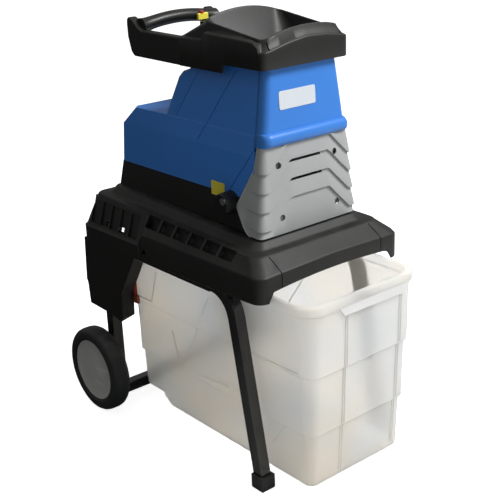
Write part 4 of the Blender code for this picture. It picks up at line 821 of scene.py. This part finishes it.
def grille_rows():
    """Rows of the grille from its top down, each as a height, how far it stands out and whether it drops."""
    first = GRILLE_LINES[0]
    rows = [(GRILLE_TOP, 0.0, False), (GRILLE.z1 + 0.018, PROUD, True)]
    rows += [(first + 0.0030, PROUD, True), (first + 0.0006, PROUD, True)]
    for top, bottom in zip(GRILLE_LINES, GRILLE_LINES[1:]):
        rows += [(top - 0.0006, 0.0, True), ((top + bottom) / 2, 0.55 * PROUD, True)]
        rows += [(bottom + 0.0026, PROUD, True), (bottom + 0.0006, PROUD, True)]
    rows += [(GRILLE_LINES[-1] - 0.0006, 0.0, True), (0.572, 0.0004, True)]
    return rows + [(GRILLE.z0 + 0.001, 0.0014, False), (GRILLE.z0, 0.0008, False)]


def build_grille():
    """The grey front: overlapping boards whose edges fold down towards the corners, and two cheeks."""
    rows = [[grille_point(*row, place) for place in range(GRILLE_PLACES)] for row in grille_rows()]
    for point in (point for row in rows for point in row):
        point.z = max(min(point.z, GRILLE_TOP), GRILLE.z0)
    upwards = rows[::-1]
    for below, above in zip(upwards, upwards[1:]):
        for low, high in zip(below, above):
            high.z = max(high.z, low.z + 0.00001)
    made = piece("grille_boards", skin(rows, closed=False), GREY, "front_grille", crease=24)
    walled(made, GRILLE_WALL)
    cuts = []
    for z, x in zip(GRILLE_LINES[1:3], (-0.050, -0.046)):
        cuts.append(block((x, GRILLE.y0 - 0.01, z - 0.0062), (x + SLOT_LONG, GRILLE.y0 + 0.03, z - 0.0008)))
    for x, z in SCREW_PLACES:
        cuts.append(drum("Y", (x, grille_plan(z)[1] - 0.010, z), 0.0152, 0.0066, 28))
    return carved(made, cuts)


def build_grille_screws():
    """Four heads with a cross recess."""
    long, short = 0.0022, 0.0005
    for index, (x, z) in enumerate(SCREW_PLACES):
        face = grille_plan(z)[1] + 0.0040
        head = drum("Y", (x, face - 0.0006, z), 0.0040, 0.0069, 24)
        screw = piece(f"grille_screw_{index + 1}_head", head, MOTOR_IRON, f"grille_screw_{index + 1}")
        recess = []
        for wide, high in ((long, short), (short, long)):
            recess.append(block((x - wide, face - 0.003, z - high), (x + wide, face + 0.0004, z + high)))
        soften(carved(screw, recess), 0.0004)


# ================================================================ blue housing
SHELL_WALL = 0.003
FACE_SLOPE = ((0.715, -0.2115), (0.863, -0.2040))  # the blue front's face, as (z, y)
ROLL_RADIUS = 0.0135
ROLL_OUT = 0.0105
COVER_HALF = (
    (0.583, 0.118), (0.668, 0.1135), (0.707, 0.1075), (0.788, 0.0968), (0.8005, 0.0945), (0.822, 0.090),
)
COVER_SEAMS = (  # ends of each seam, as (y, z)
    ((-0.118, 0.822), (-0.010, 0.672)),
    ((-0.001, 0.806), (0.064, 0.712)),
    ((-0.2080, 0.709), (-0.1085, 0.5850)),
)
SEAM_HALF = 0.0008
SEAM_DEPTH = 0.0020
BOSS_RADIUS = (BOSS.z1 - BOSS.z0) / 2


def build_front_panel():
    """The blue front with its rolled lower edge."""
    low, roll_end = PANEL.z0, PANEL.z0 + 0.0285
    profile = []
    for step in range(11):
        angle = math.radians(-70 + 160 * step / 10)
        profile.append((low + ROLL_RADIUS * (1 + math.sin(angle)), ROLL_OUT * math.cos(angle)))
    profile.append((roll_end, -0.0004))
    profile += [(roll_end + (PANEL.z1 - roll_end) * i / 8, 0.0) for i in range(1, 9)]
    rows = []
    for z, out in profile:
        half = along(z, (0.668, 0.1135), (0.707, 0.1075), (0.863, 0.0868)) + 0.15 * max(out, 0.0)
        front, radius = along(z, *FACE_SLOPE) - out, 0.015
        row = [(-half, PANEL.y1)]
        row += arc((-half + radius, front + radius), radius, 180, 90, 8)
        row += arc((half - radius, front + radius), radius, 270, 90, 8)
        row += [(half, PANEL.y1)]
        rows.append([Vector((x, y, z)) for x, y in row])
    made = piece("front_panel_shell", skin(rows, closed=False), BLUE, "front_panel", crease=28)
    return walled(made, SHELL_WALL)


def seam_cutter(sign, start, end):
    """A thin cutter along a seam on one side of the cover."""
    (y0, z0), (y1, z1) = start, end
    across = Vector((z0 - z1, y1 - y0)).normalized() * SEAM_HALF
    outline = [(y0 - across.x, z0 - across.y), (y1 - across.x, z1 - across.y)]
    outline += [(y1 + across.x, z1 + across.y), (y0 + across.x, z0 + across.y)]
    rings = []
    for out in (-SEAM_DEPTH, 0.006):
        rings.append([Vector((sign * (along(z, *COVER_HALF) + out), y, z)) for y, z in outline])
    return skin(rings, caps=True)


def build_motor_cover():
    """The blue cover behind the front: the motor compartment and the tower that carries the funnel."""
    behind, tucked = PANEL.y1 + 0.0006, PANEL.y1 - 0.0034
    rows = []
    for half, front, rear, rise, cut_x, cut_y in (
        (0.1180, tucked, COVER.y1, 0.0, 0.010, 0.010),
        (0.1135, tucked, COVER.y1 - 0.002, 0.085, 0.012, 0.012),
        (0.1075, behind, COVER.y1 - 0.044, 0.124, 0.014, 0.014),
        (0.1065, behind, 0.1100, 0.126, 0.010, 0.014),
        (0.0968, behind, 0.0720, 0.205, 0.010, 0.014),
        (0.0945, behind, 0.0590, 0.2175, 0.010, 0.013),
        (0.0925, behind, 0.0380, 0.2245, 0.010, 0.012),
        (0.0870, behind, 0.0260, COVER.z1 - COVER.z0, 0.010, 0.012),
    ):
        right = [(half - cut_x, rear), (half, rear - cut_y), (half, front)]
        left = [(-x, y) for x, y in reversed(right)]
        rows.append([Vector((x, y, COVER.z0 + rise)) for x, y in left + right])
    made = piece("motor_cover_shell", skin(rows, closed=False), BLUE, "motor_cover", crease=28)
    walled(soften(made, 0.006, 4, ALL_FOLDS), SHELL_WALL)
    cuts = [seam_cutter(sign, *seam) for sign in (-1, 1) for seam in COVER_SEAMS]
    cuts.append(drum("X", (-0.16, BOSS.middle.y, BOSS.middle.z), 0.08, BOSS_RADIUS + 0.0036, 48))
    carved(made, cuts)
    even = made.modifiers.new("even_normals", "WEIGHTED_NORMAL")
    even.keep_sharp = True
    return made


def build_name_plate():
    """A bare plate with rounded corners on the blue front."""
    middle, half = PLATE.middle.x, PLATE.half
    plan = [(middle + p.x, p.y) for p in rounded_plan(half, PLATE.z0, PLATE.z1, 0.004, 0.0, 5)]
    rings = [[Vector((x, along(z, *FACE_SLOPE) + out, z)) for x, z in plan] for out in (0.0005, -0.0010)]
    return soften(piece("name_plate", skin(rings, caps=True), PALE_PLATE, "front_plate"), 0.0004)


# ================================================================ adjuster
BOSS_RIBS = 26
STICKER = (-0.099, -0.058, 0.5720, 0.6000)  # its ends in y, then in z
STICKER_SEAT = 0.5850  # the height where it meets the cover's side


def build_adjuster():
    """The ribbed boss on the left side, and a plain sticker beside it."""
    centre = BOSS.middle
    radius = BOSS_RADIUS + 0.0030
    tip = SCREW.x0 + 0.0025
    places = BOSS_RIBS * 4  # two places on a rib's crest, two in the groove beside it
    rings = []
    for x, size, groove in (
        (BOSS.x1, 1.0, 0.0),
        (tip + 0.0140, 1.0, 0.0014),
        (tip + 0.0015, 0.97, 0.0014),
        (tip, 0.90, 0.0006),
    ):
        ring = []
        for i in range(places):
            angle = 2 * math.pi * i / places
            reach = radius * size - (groove if i % 4 in (0, 1) else 0.0)
            ring.append(Vector((x, centre.y + reach * math.cos(angle), centre.z + reach * math.sin(angle))))
        rings.append(ring)
    boss = piece("adjuster_boss", skin(rings, caps=True), BLACK_FINE, "adjuster_bush", crease=30)
    bore, depth = (SCREW.z1 - SCREW.z0) / 2 + 0.0008, BOSS.x1 - tip + 0.010
    carved(boss, [drum("X", (tip - 0.004, SCREW.middle.y, SCREW.middle.z), depth, bore)])
    front, rear, low, high = STICKER
    x = along(STICKER_SEAT, *COVER_HALF)
    outline = [(front, low), (rear, low), (rear, high), (front, high)]
    sticker = slab(outline, "X", -x - 0.0011, -x + 0.0020)
    piece("side_sticker", sticker, YELLOW, body="machine")


# ================================================================ funnel
SKIRT_STEP_Y = -0.099  # behind this the skirt hangs lower
SKIRT_Z = COVER.z1 - 0.0295  # lower edge of the skirt in front
SKIRT_RADIUS = 0.014
RIM_HALF = HOPPER.half - 0.013
RIM_FRONT = 0.0120  # how far the rim stands behind the skirt's face
RIM_REAR = HOPPER.y1 + 0.030  # and how far ahead of the ledge's end
FUNNEL_STATIONS = [-0.19, -0.16, -0.13, -0.103, -0.0985, -0.07, -0.046, -0.0375, -0.03, -0.01, 0.01, 0.02]
FUNNEL_SIDES = shares(FUNNEL_STATIONS, HOPPER.y0, HOPPER.y1, SKIRT_RADIUS)
FUNNEL_ENDS = 26
FRONT_ARCH = (
    (-0.111, 0.866), (-0.088, 0.869), (-0.045, 0.879), (0.0, 0.8850), (0.05, 0.8830), (0.111, 0.8740),
)
SKIRT_SIDE = ((HOPPER.y0 + 0.012, 0.872), (-0.19, 0.8835), (-0.046, 0.889), (-0.0375, 0.8745), (0.05, 0.8735))
RIM_SIDE = ((-0.208, 0.886), (-0.042, 0.9095))
RIM_LIP = (
    (-0.098, 0.884), (-0.088, 0.8885), (-0.064, 0.8970), (-0.035, 0.9030), (0.0, 0.9060),
    (0.035, 0.9055), (0.064, 0.9025), (0.088, 0.8970), (0.098, 0.8900),
)
REAR_BOW = 0.0165
THROAT = (0.0560, -0.1520, -0.0560)  # half width, front and rear
RAMP_FOOT = (0.0830, -0.1720, -0.0800)


def skirt_low(x, y):
    """Lower edge of the skirt."""
    return SKIRT_Z - 0.0165 if y > SKIRT_STEP_Y else SKIRT_Z


def skirt_high(x, y):
    """Top of the skirt's face: an arch across the front, a rising side, and a step down to the rear ledge."""
    if y < HOPPER.y0 + 0.012:
        return along(x, *FRONT_ARCH)
    return along(y, *SKIRT_SIDE)


def rim_high(x, y):
    """Top of the funnel's rim: an arched lip in front, straight sides and an arched wall behind."""
    lip = along(x, *RIM_LIP) - RIM_SIDE[0][1]
    bow = REAR_BOW * (1 - (x / RIM_HALF) ** 2)
    front_share = along(y, (-0.206, 1.0), (-0.190, 0.0))
    rear_share = along(y, (-0.050, 0.0), (-0.032, 1.0))
    return along(y, *RIM_SIDE) + lip * front_share + bow * rear_share


def build_funnel():
    """The funnel: a skirt over the tower, a rim that arches in front and behind, a ramp and a throat."""

    def funnel_ring(half, front, rear, radius, height):
        return rounded_plan(half, front, rear, radius, height, sides=FUNNEL_SIDES, ends=FUNNEL_ENDS)

    def level(inset, front_in, rear_in, radius, height):
        return funnel_ring(HOPPER.half - inset, HOPPER.y0 + front_in, HOPPER.y1 - rear_in, radius, height)

    def throat(inset, radius, height):
        half, front, rear = THROAT
        return funnel_ring(half - inset, front + inset, rear - inset, radius, height)

    def ramp_foot(grow, height):
        half, front, rear = RAMP_FOOT
        return funnel_ring(half + grow, front - grow, rear + grow, 0.040, height)

    skirt = [
        level(0.0006, 0.0006, 0.0006, SKIRT_RADIUS, skirt_low),
        level(0.0, 0.0, 0.0, SKIRT_RADIUS, lifted(0.0012, skirt_low)),
        level(0.0, 0.0, 0.0, SKIRT_RADIUS, lifted(-0.0030, skirt_high)),
        level(0.0006, 0.0006, 0.0008, SKIRT_RADIUS, lifted(-0.0012, skirt_high)),
        level(0.0022, 0.0020, 0.0026, SKIRT_RADIUS, skirt_high),
        level(0.0075, 0.0052, 0.0080, 0.015, lifted(0.0022, skirt_high)),
    ]
    rim = [
        level(0.0120, RIM_FRONT - 0.0022, RIM_REAR, 0.017, lifted(-0.0052, rim_high)),
        level(0.0128, RIM_FRONT - 0.0004, RIM_REAR + 0.0008, 0.017, lifted(-0.0014, rim_high)),
        level(0.0145, RIM_FRONT + 0.0014, RIM_REAR + 0.0022, 0.016, rim_high),
        level(0.0168, RIM_FRONT + 0.0034, RIM_REAR + 0.0042, 0.015, lifted(-0.0010, rim_high)),
        level(0.0180, RIM_FRONT + 0.0044, RIM_REAR + 0.0054, 0.014, lifted(-0.0040, rim_high)),
    ]
    bowl = [ramp_foot(0.0, 0.8480), throat(-0.004, 0.014, 0.8140), throat(0.0, 0.012, 0.7960)]
    mouth = [throat(0.0, 0.012, 0.6980), throat(-0.003, 0.013, 0.6980), throat(-0.003, 0.013, 0.8040)]
    underside = [
        ramp_foot(0.0030, 0.8440),
        level(0.0150, RIM_FRONT + 0.0020, RIM_REAR + 0.0020, 0.012, lifted(-0.0190, rim_high)),
        level(0.0110, 0.0082, 0.0110, 0.012, lifted(-0.0020, skirt_high)),
        level(0.0034, 0.0034, 0.0034, 0.011, lifted(-0.0060, skirt_high)),
        level(0.0034, 0.0034, 0.0034, 0.011, skirt_low),
    ]
    mesh = skin(skirt + rim + bowl + mouth + underside, loop=True)
    grooves = []
    for x in (-0.0905, 0.0905):
        near, far = HOPPER.y0 + 0.0018, HOPPER.y0 + 0.0125
        grooves.append(block((x - 0.0012, near, 0.862), (x + 0.0012, far, 0.905)))
    return carved(piece("funnel", mesh, BLACK, "hopper", crease=30), grooves)


# ================================================================ handle
GRIP_RADIUS = 0.0138
GRIP_BOW = 0.012
GRIP_STATIONS = 28
GRIP_SIDES = 28
GRIP_SWITCH = ((0.036, 0.1585, 0.8790), (0.064, 0.1655, 0.8935))
GRIP_SWITCH_CAP = (0.047, 0.1620, 0.8930)


def build_handle():
    """Two arms with upturned ends and a thick bowed grip that flows into them."""
    low, high = ARM.z0, ARM.z1
    front, end = HOPPER.y1 - 0.034, ARM.y1
    outline = [(front, low - 0.0012), (end - 0.020, low + 0.0010), (end - 0.010, low + 0.010)]
    outline += [(end - 0.001, low + 0.040), (end, high - 0.014), (end - 0.0008, high - 0.006)]
    outline += [(end - 0.005, high), (end - 0.012, high - 0.0008), (end - 0.022, high - 0.006)]
    outline += [(end - 0.036, low + 0.064), (end - 0.050, low + 0.0565), (front, low + 0.0545)]
    for side, sign in SIDES:
        x0, x1 = sorted((sign * (HOPPER.half - 0.0001), sign * (HOPPER.half - 0.0208)))
        arm = piece(f"{side}_arm", slab(outline, "X", x0, x1), BLACK, f"{side}_handle_arm")
        soften(arm, 0.0055, 4, 18)
    reach = HOPPER.half - 0.012
    rings = []
    for i in range(GRIP_STATIONS + 1):
        x = -reach + 2 * reach * i / GRIP_STATIONS
        share = 1 - (x / reach) ** 2
        radius = GRIP_RADIUS + 0.0045 * (1 - share) ** 4
        middle = GRIP.z0 + 0.0128 + GRIP_BOW * share
        ring = []
        for k in range(GRIP_SIDES):
            angle = 2 * math.pi * k / GRIP_SIDES
            y = GRIP.middle.y + 0.001 + radius * 1.05 * math.cos(angle)
            ring.append(Vector((x, y, middle + radius * math.sin(angle))))
        rings.append(ring)
    piece("grip_bar", skin(rings, caps=True), BLACK_FINE, "handle_grip")


def build_switch_unit():
    """The switch box behind the funnel, with its yellow plate and caps, and the small switch by the grip."""
    rounded_node("switch_box", 0.0024)
    x, y, top, half = STOP.middle.x, STOP.middle.y, SWITCH.z1, 0.013
    plate = block((x - half, y - half, top - 0.0006), (x + half, y + half, top + 0.0008))
    made = piece("switch_plate", plate, YELLOW, body="machine")
    carved(made, [drum("Z", (x, y, top - 0.004), 0.008, 0.0092)])
    plate = block(*GRIP_SWITCH)
    soften(piece("grip_switch_plate", plate, YELLOW, body="machine"), 0.002, 3)
    knob = drum("Z", GRIP_SWITCH_CAP, 0.0060, 0.0056, 28, 0.0048)
    soften(piece("grip_switch_cap", knob, RED, body="machine"), 0.0010, 3)
    for node, material in (("stop_button", RED), ("start_button", GREEN), ("reset_button", BLACK_FINE)):
        rounded_node(node, 0.0016, material, 3)
    rounded_node("direction_knob", 0.0014, BLACK_FINE, 3)
    rounded_node("power_inlet", 0.0010)


# ================================================================ collecting bin
BIN_STEPS = (0.140, 0.270)  # heights of the two ledges
BIN_STATIONS = [BIN.y0 + 0.055 + 0.0125 * i for i in range(36)]
BIN_STATIONS += [0.1395, 0.1425, 0.1480, 0.1530, 0.170, 0.185]
BIN_SIDES = shares(BIN_STATIONS, BIN.y0, BIN.y1, 0.040)
BIN_ENDS = 30
BIN_WALL = 0.0030
BIN_HALF = (
    (BIN.z0, 0.1285), (0.1385, 0.1325), (0.1400, 0.1368), (0.2685, 0.1405), (0.2700, 0.1450), (0.395, 0.1498),
)
BIN_SETBACK = (  # how far the front wall stands behind the rim
    (BIN.z0, 0.0290), (0.1385, 0.0225), (0.1400, 0.0182), (0.2685, 0.0130), (0.2700, 0.0088), (0.395, 0.0050),
)
BIN_CORNER = ((BIN.z0, 0.018), (0.27, 0.030), (0.395, 0.040))
SIDE_BARS = (  # ribs and panel edges of the side walls, as lines of (y, z)
    ((0.120, 0.361), (0.150, 0.281), (0.222, 0.281)),
    ((-0.066, 0.356), (0.061, 0.147)),
    ((0.086, 0.228), (0.065, 0.149)),
    ((0.140, 0.134), (0.061, 0.146), (-0.102, 0.160)),
    ((-0.330, 0.277), (-0.191, 0.276), (-0.174, 0.265)),
    ((-0.274, 0.137), (-0.232, 0.080)),
)
BAR_WIDTH = 0.0032
BAR_PROUD = 0.0015
FRONT_BARS = (-0.052, -0.046, 0.099, 0.105)
FRONT_BAR_LEVELS = (0.385, 0.330, 0.274, 0.266, 0.200, 0.144, 0.136, 0.080, 0.034)


def bin_floor(x, y):
    """Underside of the bin: flat in front, with a heel behind that is raised in two steps."""
    if y > 0.150:
        return BIN.z0 + 0.024
    if y > 0.141:
        return BIN.z0 + 0.012
    return BIN.z0


def bin_ring(z, inset=0.0, height=None):
    """One level of the bin's wall; its corners tighten towards the bottom."""
    setback = along(z, *BIN_SETBACK)
    front = BIN.y0 + setback + inset
    rear = BIN.y1 - 0.6 * setback - inset
    radius = max(along(z, *BIN_CORNER) - inset * 0.8, 0.006)
    half = along(z, *BIN_HALF) - inset
    return rounded_plan(half, front, rear, radius, height or z, 9, BIN_SIDES, BIN_ENDS)


def rim_ring(inset, z, radius=0.042):
    """One level of the bin's rolled rim."""
    half = BIN.half - inset
    return rounded_plan(half, BIN.y0 + inset, BIN.y1 - inset, radius, z, 9, BIN_SIDES, BIN_ENDS)


def split_across(face):
    """Cut a floor into strips from side to side, so that it follows its heel."""
    levels = {}
    for vert in face.verts:
        levels.setdefault(round(vert.co.y, 5), []).append(vert)
    for _, ends in sorted(levels.items()):
        if len(ends) == 2:
            shared = [f for f in ends[0].link_faces if f in ends[1].link_faces and len(f.verts) > 4]
            if shared:
                bmesh.utils.face_split(shared[0], ends[0], ends[1])


def build_bin():
    """The milky collecting bin: stepped walls, a rolled rim and a raised heel."""
    low = BIN.z0
    rings = [
        bin_ring(low, 0.006, bin_floor),
        bin_ring(low, 0.0022, lifted(0.0012, bin_floor)),
        bin_ring(low, 0.0, lifted(0.0050, bin_floor)),
        bin_ring(0.0760),
        bin_ring(0.1100),
    ]
    for step in BIN_STEPS:
        for rise, inset in ((-0.0016, 0.0), (-0.0004, -0.0004), (0.0, 0.0), (0.0014, -0.0008)):
            rings.append(bin_ring(step + rise, inset))
        rings += [bin_ring(step + 0.0060, -0.0003), bin_ring(step + 0.0500)]
    rings.append(bin_ring(0.3950))
    for inset, z in (
        (0.0048, 0.3990), (0.0012, 0.3998), (0.0, 0.4020), (0.0, 0.4150),
        (0.0010, 0.4185), (0.0034, 0.4208), (0.0066, BIN.z1), (0.0100, 0.4206),
    ):
        rings.append(rim_ring(inset, z))
    rings.append(rim_ring(0.0120, 0.4170, 0.040))
    rings += [bin_ring(z, BIN_WALL) for z in (0.3900, 0.2760, 0.2640, 0.1460, 0.1340)]
    rings.append(bin_ring(low, 0.0040, lifted(0.0100, bin_floor)))
    rings.append(bin_ring(low, 0.0100, lifted(0.0040, bin_floor)))
    mesh = skin(rings)
    open_edges = [edge for edge in mesh.edges if edge.is_boundary]
    for face in bmesh.ops.holes_fill(mesh, edges=open_edges, sides=0)["faces"]:
        split_across(face)
    bmesh.ops.recalc_face_normals(mesh, faces=mesh.faces)
    return piece("collecting_bin_shell", mesh, MILKY, "bin", crease=34)


def side_bar(mesh, line):
    """Add a low rounded rib that follows a line of (y, z) over both side walls of the bin."""
    shoulder = (0.55, BAR_PROUD * 0.8)
    section = ((-1.0, -0.0008), (-0.55, BAR_PROUD * 0.8), (0.0, BAR_PROUD), shoulder, (1.0, -0.0008))
    for sign in (-1, 1):
        for (y0, z0), (y1, z1) in zip(line, line[1:]):
            run = Vector((y1 - y0, z1 - z0))
            across = Vector((-run.y, run.x)).normalized() * BAR_WIDTH / 2
            steps = max(2, int(run.length / 0.02))
            rings = []
            for i in range(steps + 1):
                ring = []
                for side, out in section:
                    y = y0 + run.x * i / steps + across.x * side
                    z = z0 + run.y * i / steps + across.y * side
                    ring.append(Vector((sign * (along(z, *BIN_HALF) + out), y, z)))
                rings.append(ring)
            added(mesh, skin(rings, caps=True))


def build_bin_reliefs():
    """Ribs and panel edges moulded into the bin's sides and front, and its pull lip."""
    mesh = bmesh.new()
    for line in SIDE_BARS:
        side_bar(mesh, line)
    section = ((-0.0016, 0.0008), (-0.0010, -0.0010), (0.0, -0.0014), (0.0010, -0.0010), (0.0016, 0.0008))
    for x in FRONT_BARS:
        rings = []
        for z in FRONT_BAR_LEVELS:
            y = BIN.y0 + along(z, *BIN_SETBACK)
            rings.append([Vector((x + across, y + out, z)) for across, out in section])
        added(mesh, skin(rings, caps=True))
    piece("bin_ribs", mesh, MILKY, body="collecting_bin")
    outline = [(-0.074, 0.4030), (0.126, 0.4030), (0.110, 0.3815), (-0.060, 0.3835)]
    lip = slab(outline, "Y", BIN.y0 + 0.0002, BIN.y0 + 0.0032)
    soften(piece("bin_pull_lip", lip, MILKY_RIM, body="collecting_bin"), 0.0012, 3)


# ================================================================ wheels and frame
LATCH = ((-0.1600, 0.1860, 0.2680), (-0.1520, 0.2080, 0.2870))
COVER_FRONT_BACK = 0.022  # how far the leg cover's front edge is set back
COVER_HEEL_BACK = 0.008  # and how far its rear edge is drawn out near the bottom
COVER_REACH = 0.080


def build_wheels():
    """Smooth tyres with rounded shoulders round plain, slightly dished discs."""
    centre = (TYRE.middle.y, TYRE.middle.z)
    width = TYRE.x1 - TYRE.x0
    radius = (TYRE.z1 - TYRE.z0) / 2
    bead = radius - 0.0272
    tyre = [
        (bead, 0.0), (bead + 0.004, 0.0),
        (radius - 0.010, 0.0008), (radius - 0.0045, 0.0036), (radius - 0.0012, 0.0085), (radius, 0.0150),
        (radius, width - 0.0150), (radius - 0.0012, width - 0.0085), (radius - 0.0045, width - 0.0036),
        (radius - 0.010, width - 0.0008), (bead + 0.0050, width), (bead + 0.0030, width - 0.0006),
        (bead + 0.0018, width - 0.0026), (bead, width - 0.0030), (bead, 0.0),
    ]
    edge = bead - 0.0003
    disc = [
        (edge, -0.0200), (edge, -0.0046), (edge - 0.0008, -0.0034), (edge - 0.0024, -0.0030),
        (edge - 0.0040, -0.0034), (edge - 0.0060, -0.0044), (0.045, -0.0046), (0.020, -0.0038),
        (0.0, -0.0036), (0.0, -0.0066), (0.045, -0.0080), (edge - 0.0060, -0.0080),
        (edge - 0.0060, -0.0200), (edge, -0.0200),
    ]
    disc = [(reach, width + back) for reach, back in disc]
    for side, sign in SIDES:
        place = sign * TYRE.x0
        for profile, name, material, node in (
            (tyre, f"{side}_tyre_ring", TYRE_RUBBER, f"{side}_tyre"),
            (disc, f"{side}_hub_disc", HUB_PLASTIC, f"{side}_hub"),
        ):
            mesh = turned([(reach, sign * run) for reach, run in profile], place, centre)
            piece(name, mesh, material, node, crease=50)


def build_frame():
    """Painted square tubes, foot caps, leg covers and the latch by the left wheel."""
    for side, _ in SIDES:
        rounded_node(f"{side}_front_leg", 0.0032, PAINT, 3)
        rounded_node(f"{side}_rear_leg", 0.0032, PAINT, 3)
        rounded_node(f"{side}_foot_cap", 0.0026, CAP_RUBBER, 3)
        cover = rounded_node(f"{side}_leg_cover", 0.0026, BLACK, 3)
        for vertex in cover.data.vertices:
            if vertex.co.y < LEG_COVER.y0 + COVER_REACH:
                vertex.co.y += COVER_FRONT_BACK
            elif vertex.co.y > LEG_COVER.y1 - 0.012 and vertex.co.z < LEG_COVER.z0 + COVER_REACH:
                vertex.co.y += COVER_HEEL_BACK
    rounded_node("rear_crossbar", 0.0030, PAINT, 3)
    soften(piece("bin_latch_key", block(*LATCH), LATCH_RED, body="machine"), 0.0020, 3)


# ================================================================ light, floor and camera
KEY_SIDE = (0.54, -0.82, 0.10)  # direction towards the side that the key lamp lights
FLOOR_HALF = 14.0
FLOOR_WHITE = 0.86
# painted shade: for bounced light the floor's white is painted darker on the side away from the key lamp,
# down to this share of it
FLOOR_PAINTED_SHADE = (0.06, 1.0)  # share of that white for bounced light, away from the key lamp and towards it
FLOOR_GLOW = 0.86
FILL = (0.25, 0.47)  # surround away from the key lamp and towards it
LAMPS = (
    ("key", (1.25, -1.90, 3.10), (0.0, 0.0, 0.45), (1.1, 1.1), 128.0),
    ("top", (-0.30, 0.30, 2.90), (0.0, 0.0, 0.50), (1.6, 1.6), 7.0),
)
CAMERA_PLACE = Vector((-1.2987, -1.6016, 1.1702))
CAMERA_TURN = (-39.5148, 20.4013, -2.3148)  # azimuth, elevation and roll in degrees


def towards_key(tree, coordinates, low_high, values):
    """A slow change of value from the side away from the key lamp to the side under it."""
    place = tree.nodes.new("ShaderNodeTexCoord").outputs[coordinates]
    dot = tree.nodes.new("ShaderNodeVectorMath")
    dot.operation = "DOT_PRODUCT"
    dot.inputs[1].default_value = KEY_SIDE
    join(tree, (place, dot.inputs[0]))
    return remap(tree, dot.outputs["Value"], *low_high, *values)


def seen_directly(tree):
    """1 where the camera looks at the surface, also through something clear, and 0 for all other light."""
    rays = tree.nodes.new("ShaderNodeLightPath")
    return arithmetic(tree, "MAXIMUM", rays.outputs["Is Camera Ray"], rays.outputs["Is Transmission Ray"])


def build_floor():
    """A white floor that keeps a soft shadow; for bounced light its white carries painted shade, darker on
    the side away from the key lamp.
    """
    mesh = bmesh.new()
    bmesh.ops.create_grid(mesh, x_segments=1, y_segments=1, size=FLOOR_HALF)
    data = bpy.data.meshes.new("floor")
    mesh.to_mesh(data)
    mesh.free()
    floor = bpy.data.objects.new("floor", data)
    bpy.context.scene.collection.objects.link(floor)
    material = bpy.data.materials.new("floor_white")
    material.use_nodes = True
    tree = material.node_tree
    shader = tree.nodes["Principled BSDF"]
    shader.inputs["Roughness"].default_value = 0.9
    shader.inputs["Specular IOR Level"].default_value = 0.0
    glow = tree.nodes.new("ShaderNodeEmission")
    both = tree.nodes.new("ShaderNodeAddShader")
    seen = seen_directly(tree)
    lit_side = towards_key(tree, "Object", (-0.6, 0.7), FLOOR_PAINTED_SHADE)
    # painted shade on the floor, for bounced light only; the camera still sees the even white
    shaded_white = arithmetic(tree, "MULTIPLY", arithmetic(tree, "MAXIMUM", seen, lit_side), FLOOR_WHITE)
    join(
        tree,
        (shader.outputs["BSDF"], both.inputs[0]),
        (glow.outputs["Emission"], both.inputs[1]),
        (both.outputs["Shader"], tree.nodes["Material Output"].inputs["Surface"]),
        (arithmetic(tree, "MULTIPLY", seen, FLOOR_GLOW), glow.inputs["Strength"]),
        (shaded_white, shader.inputs["Base Color"]),
    )
    data.materials.append(material)


def build_surround():
    """White all round for the camera, and a plain fill for the object, stronger on the key lamp's side."""
    world = bpy.data.worlds.new("white_surround")
    bpy.context.scene.world = world
    world.use_nodes = True
    tree = world.node_tree
    background = tree.nodes["Background"]
    background.inputs["Color"].default_value = (1.0, 1.0, 1.0, 1.0)
    lit_side = towards_key(tree, "Generated", (-0.35, 0.9), FILL)
    strength = arithmetic(tree, "MAXIMUM", seen_directly(tree), lit_side)
    join(tree, (strength, background.inputs["Strength"]))


def build_lamps():
    """The soft key lamp in front on the right, and a weak lamp overhead."""
    for name, place, aim, size, power in LAMPS:
        lamp = bpy.data.lights.new(name, "AREA")
        lamp.shape = "RECTANGLE"
        lamp.size, lamp.size_y = size
        lamp.energy = power
        made = bpy.data.objects.new(name, lamp)
        made.location = place
        made.rotation_mode = "QUATERNION"
        made.rotation_quaternion = (Vector(aim) - Vector(place)).to_track_quat("-Z", "Y")
        bpy.context.scene.collection.objects.link(made)


def build_camera():
    """The camera in front on the left, looking down a little."""
    azimuth, elevation, roll = (math.radians(value) for value in CAMERA_TURN)
    level = math.cos(elevation)
    back = Vector((math.sin(azimuth) * level, -math.cos(azimuth) * level, math.sin(elevation)))
    right = (-back).cross(Vector((0, 0, 1))).normalized()
    up = right.cross(-back)
    rolled_right = right * math.cos(roll) + up * math.sin(roll)
    rolled_up = -right * math.sin(roll) + up * math.cos(roll)
    lens = bpy.data.cameras.new("camera")
    lens.lens, lens.sensor_width = 72.86, 36.0
    lens.clip_start, lens.clip_end = 0.05, 60.0
    camera = bpy.data.objects.new("camera", lens)
    turn = Matrix((rolled_right, rolled_up, back)).transposed().to_4x4()
    camera.matrix_world = Matrix.Translation(CAMERA_PLACE) @ turn
    bpy.context.scene.collection.objects.link(camera)
    bpy.context.scene.camera = camera
    bpy.context.scene.view_settings.view_transform = "Standard"


def main():
    paint_frame_nodes()
    build_deck()
    build_pocket_floors()
    rounded_node("lower_housing", 0.0022)
    build_grille()
    build_grille_screws()
    build_front_panel()
    build_motor_cover()
    build_name_plate()
    build_adjuster()
    build_funnel()
    build_handle()
    build_switch_unit()
    build_bin()
    build_bin_reliefs()
    build_wheels()
    build_frame()
    build_floor()
    build_surround()
    build_lamps()
    build_camera()


main()
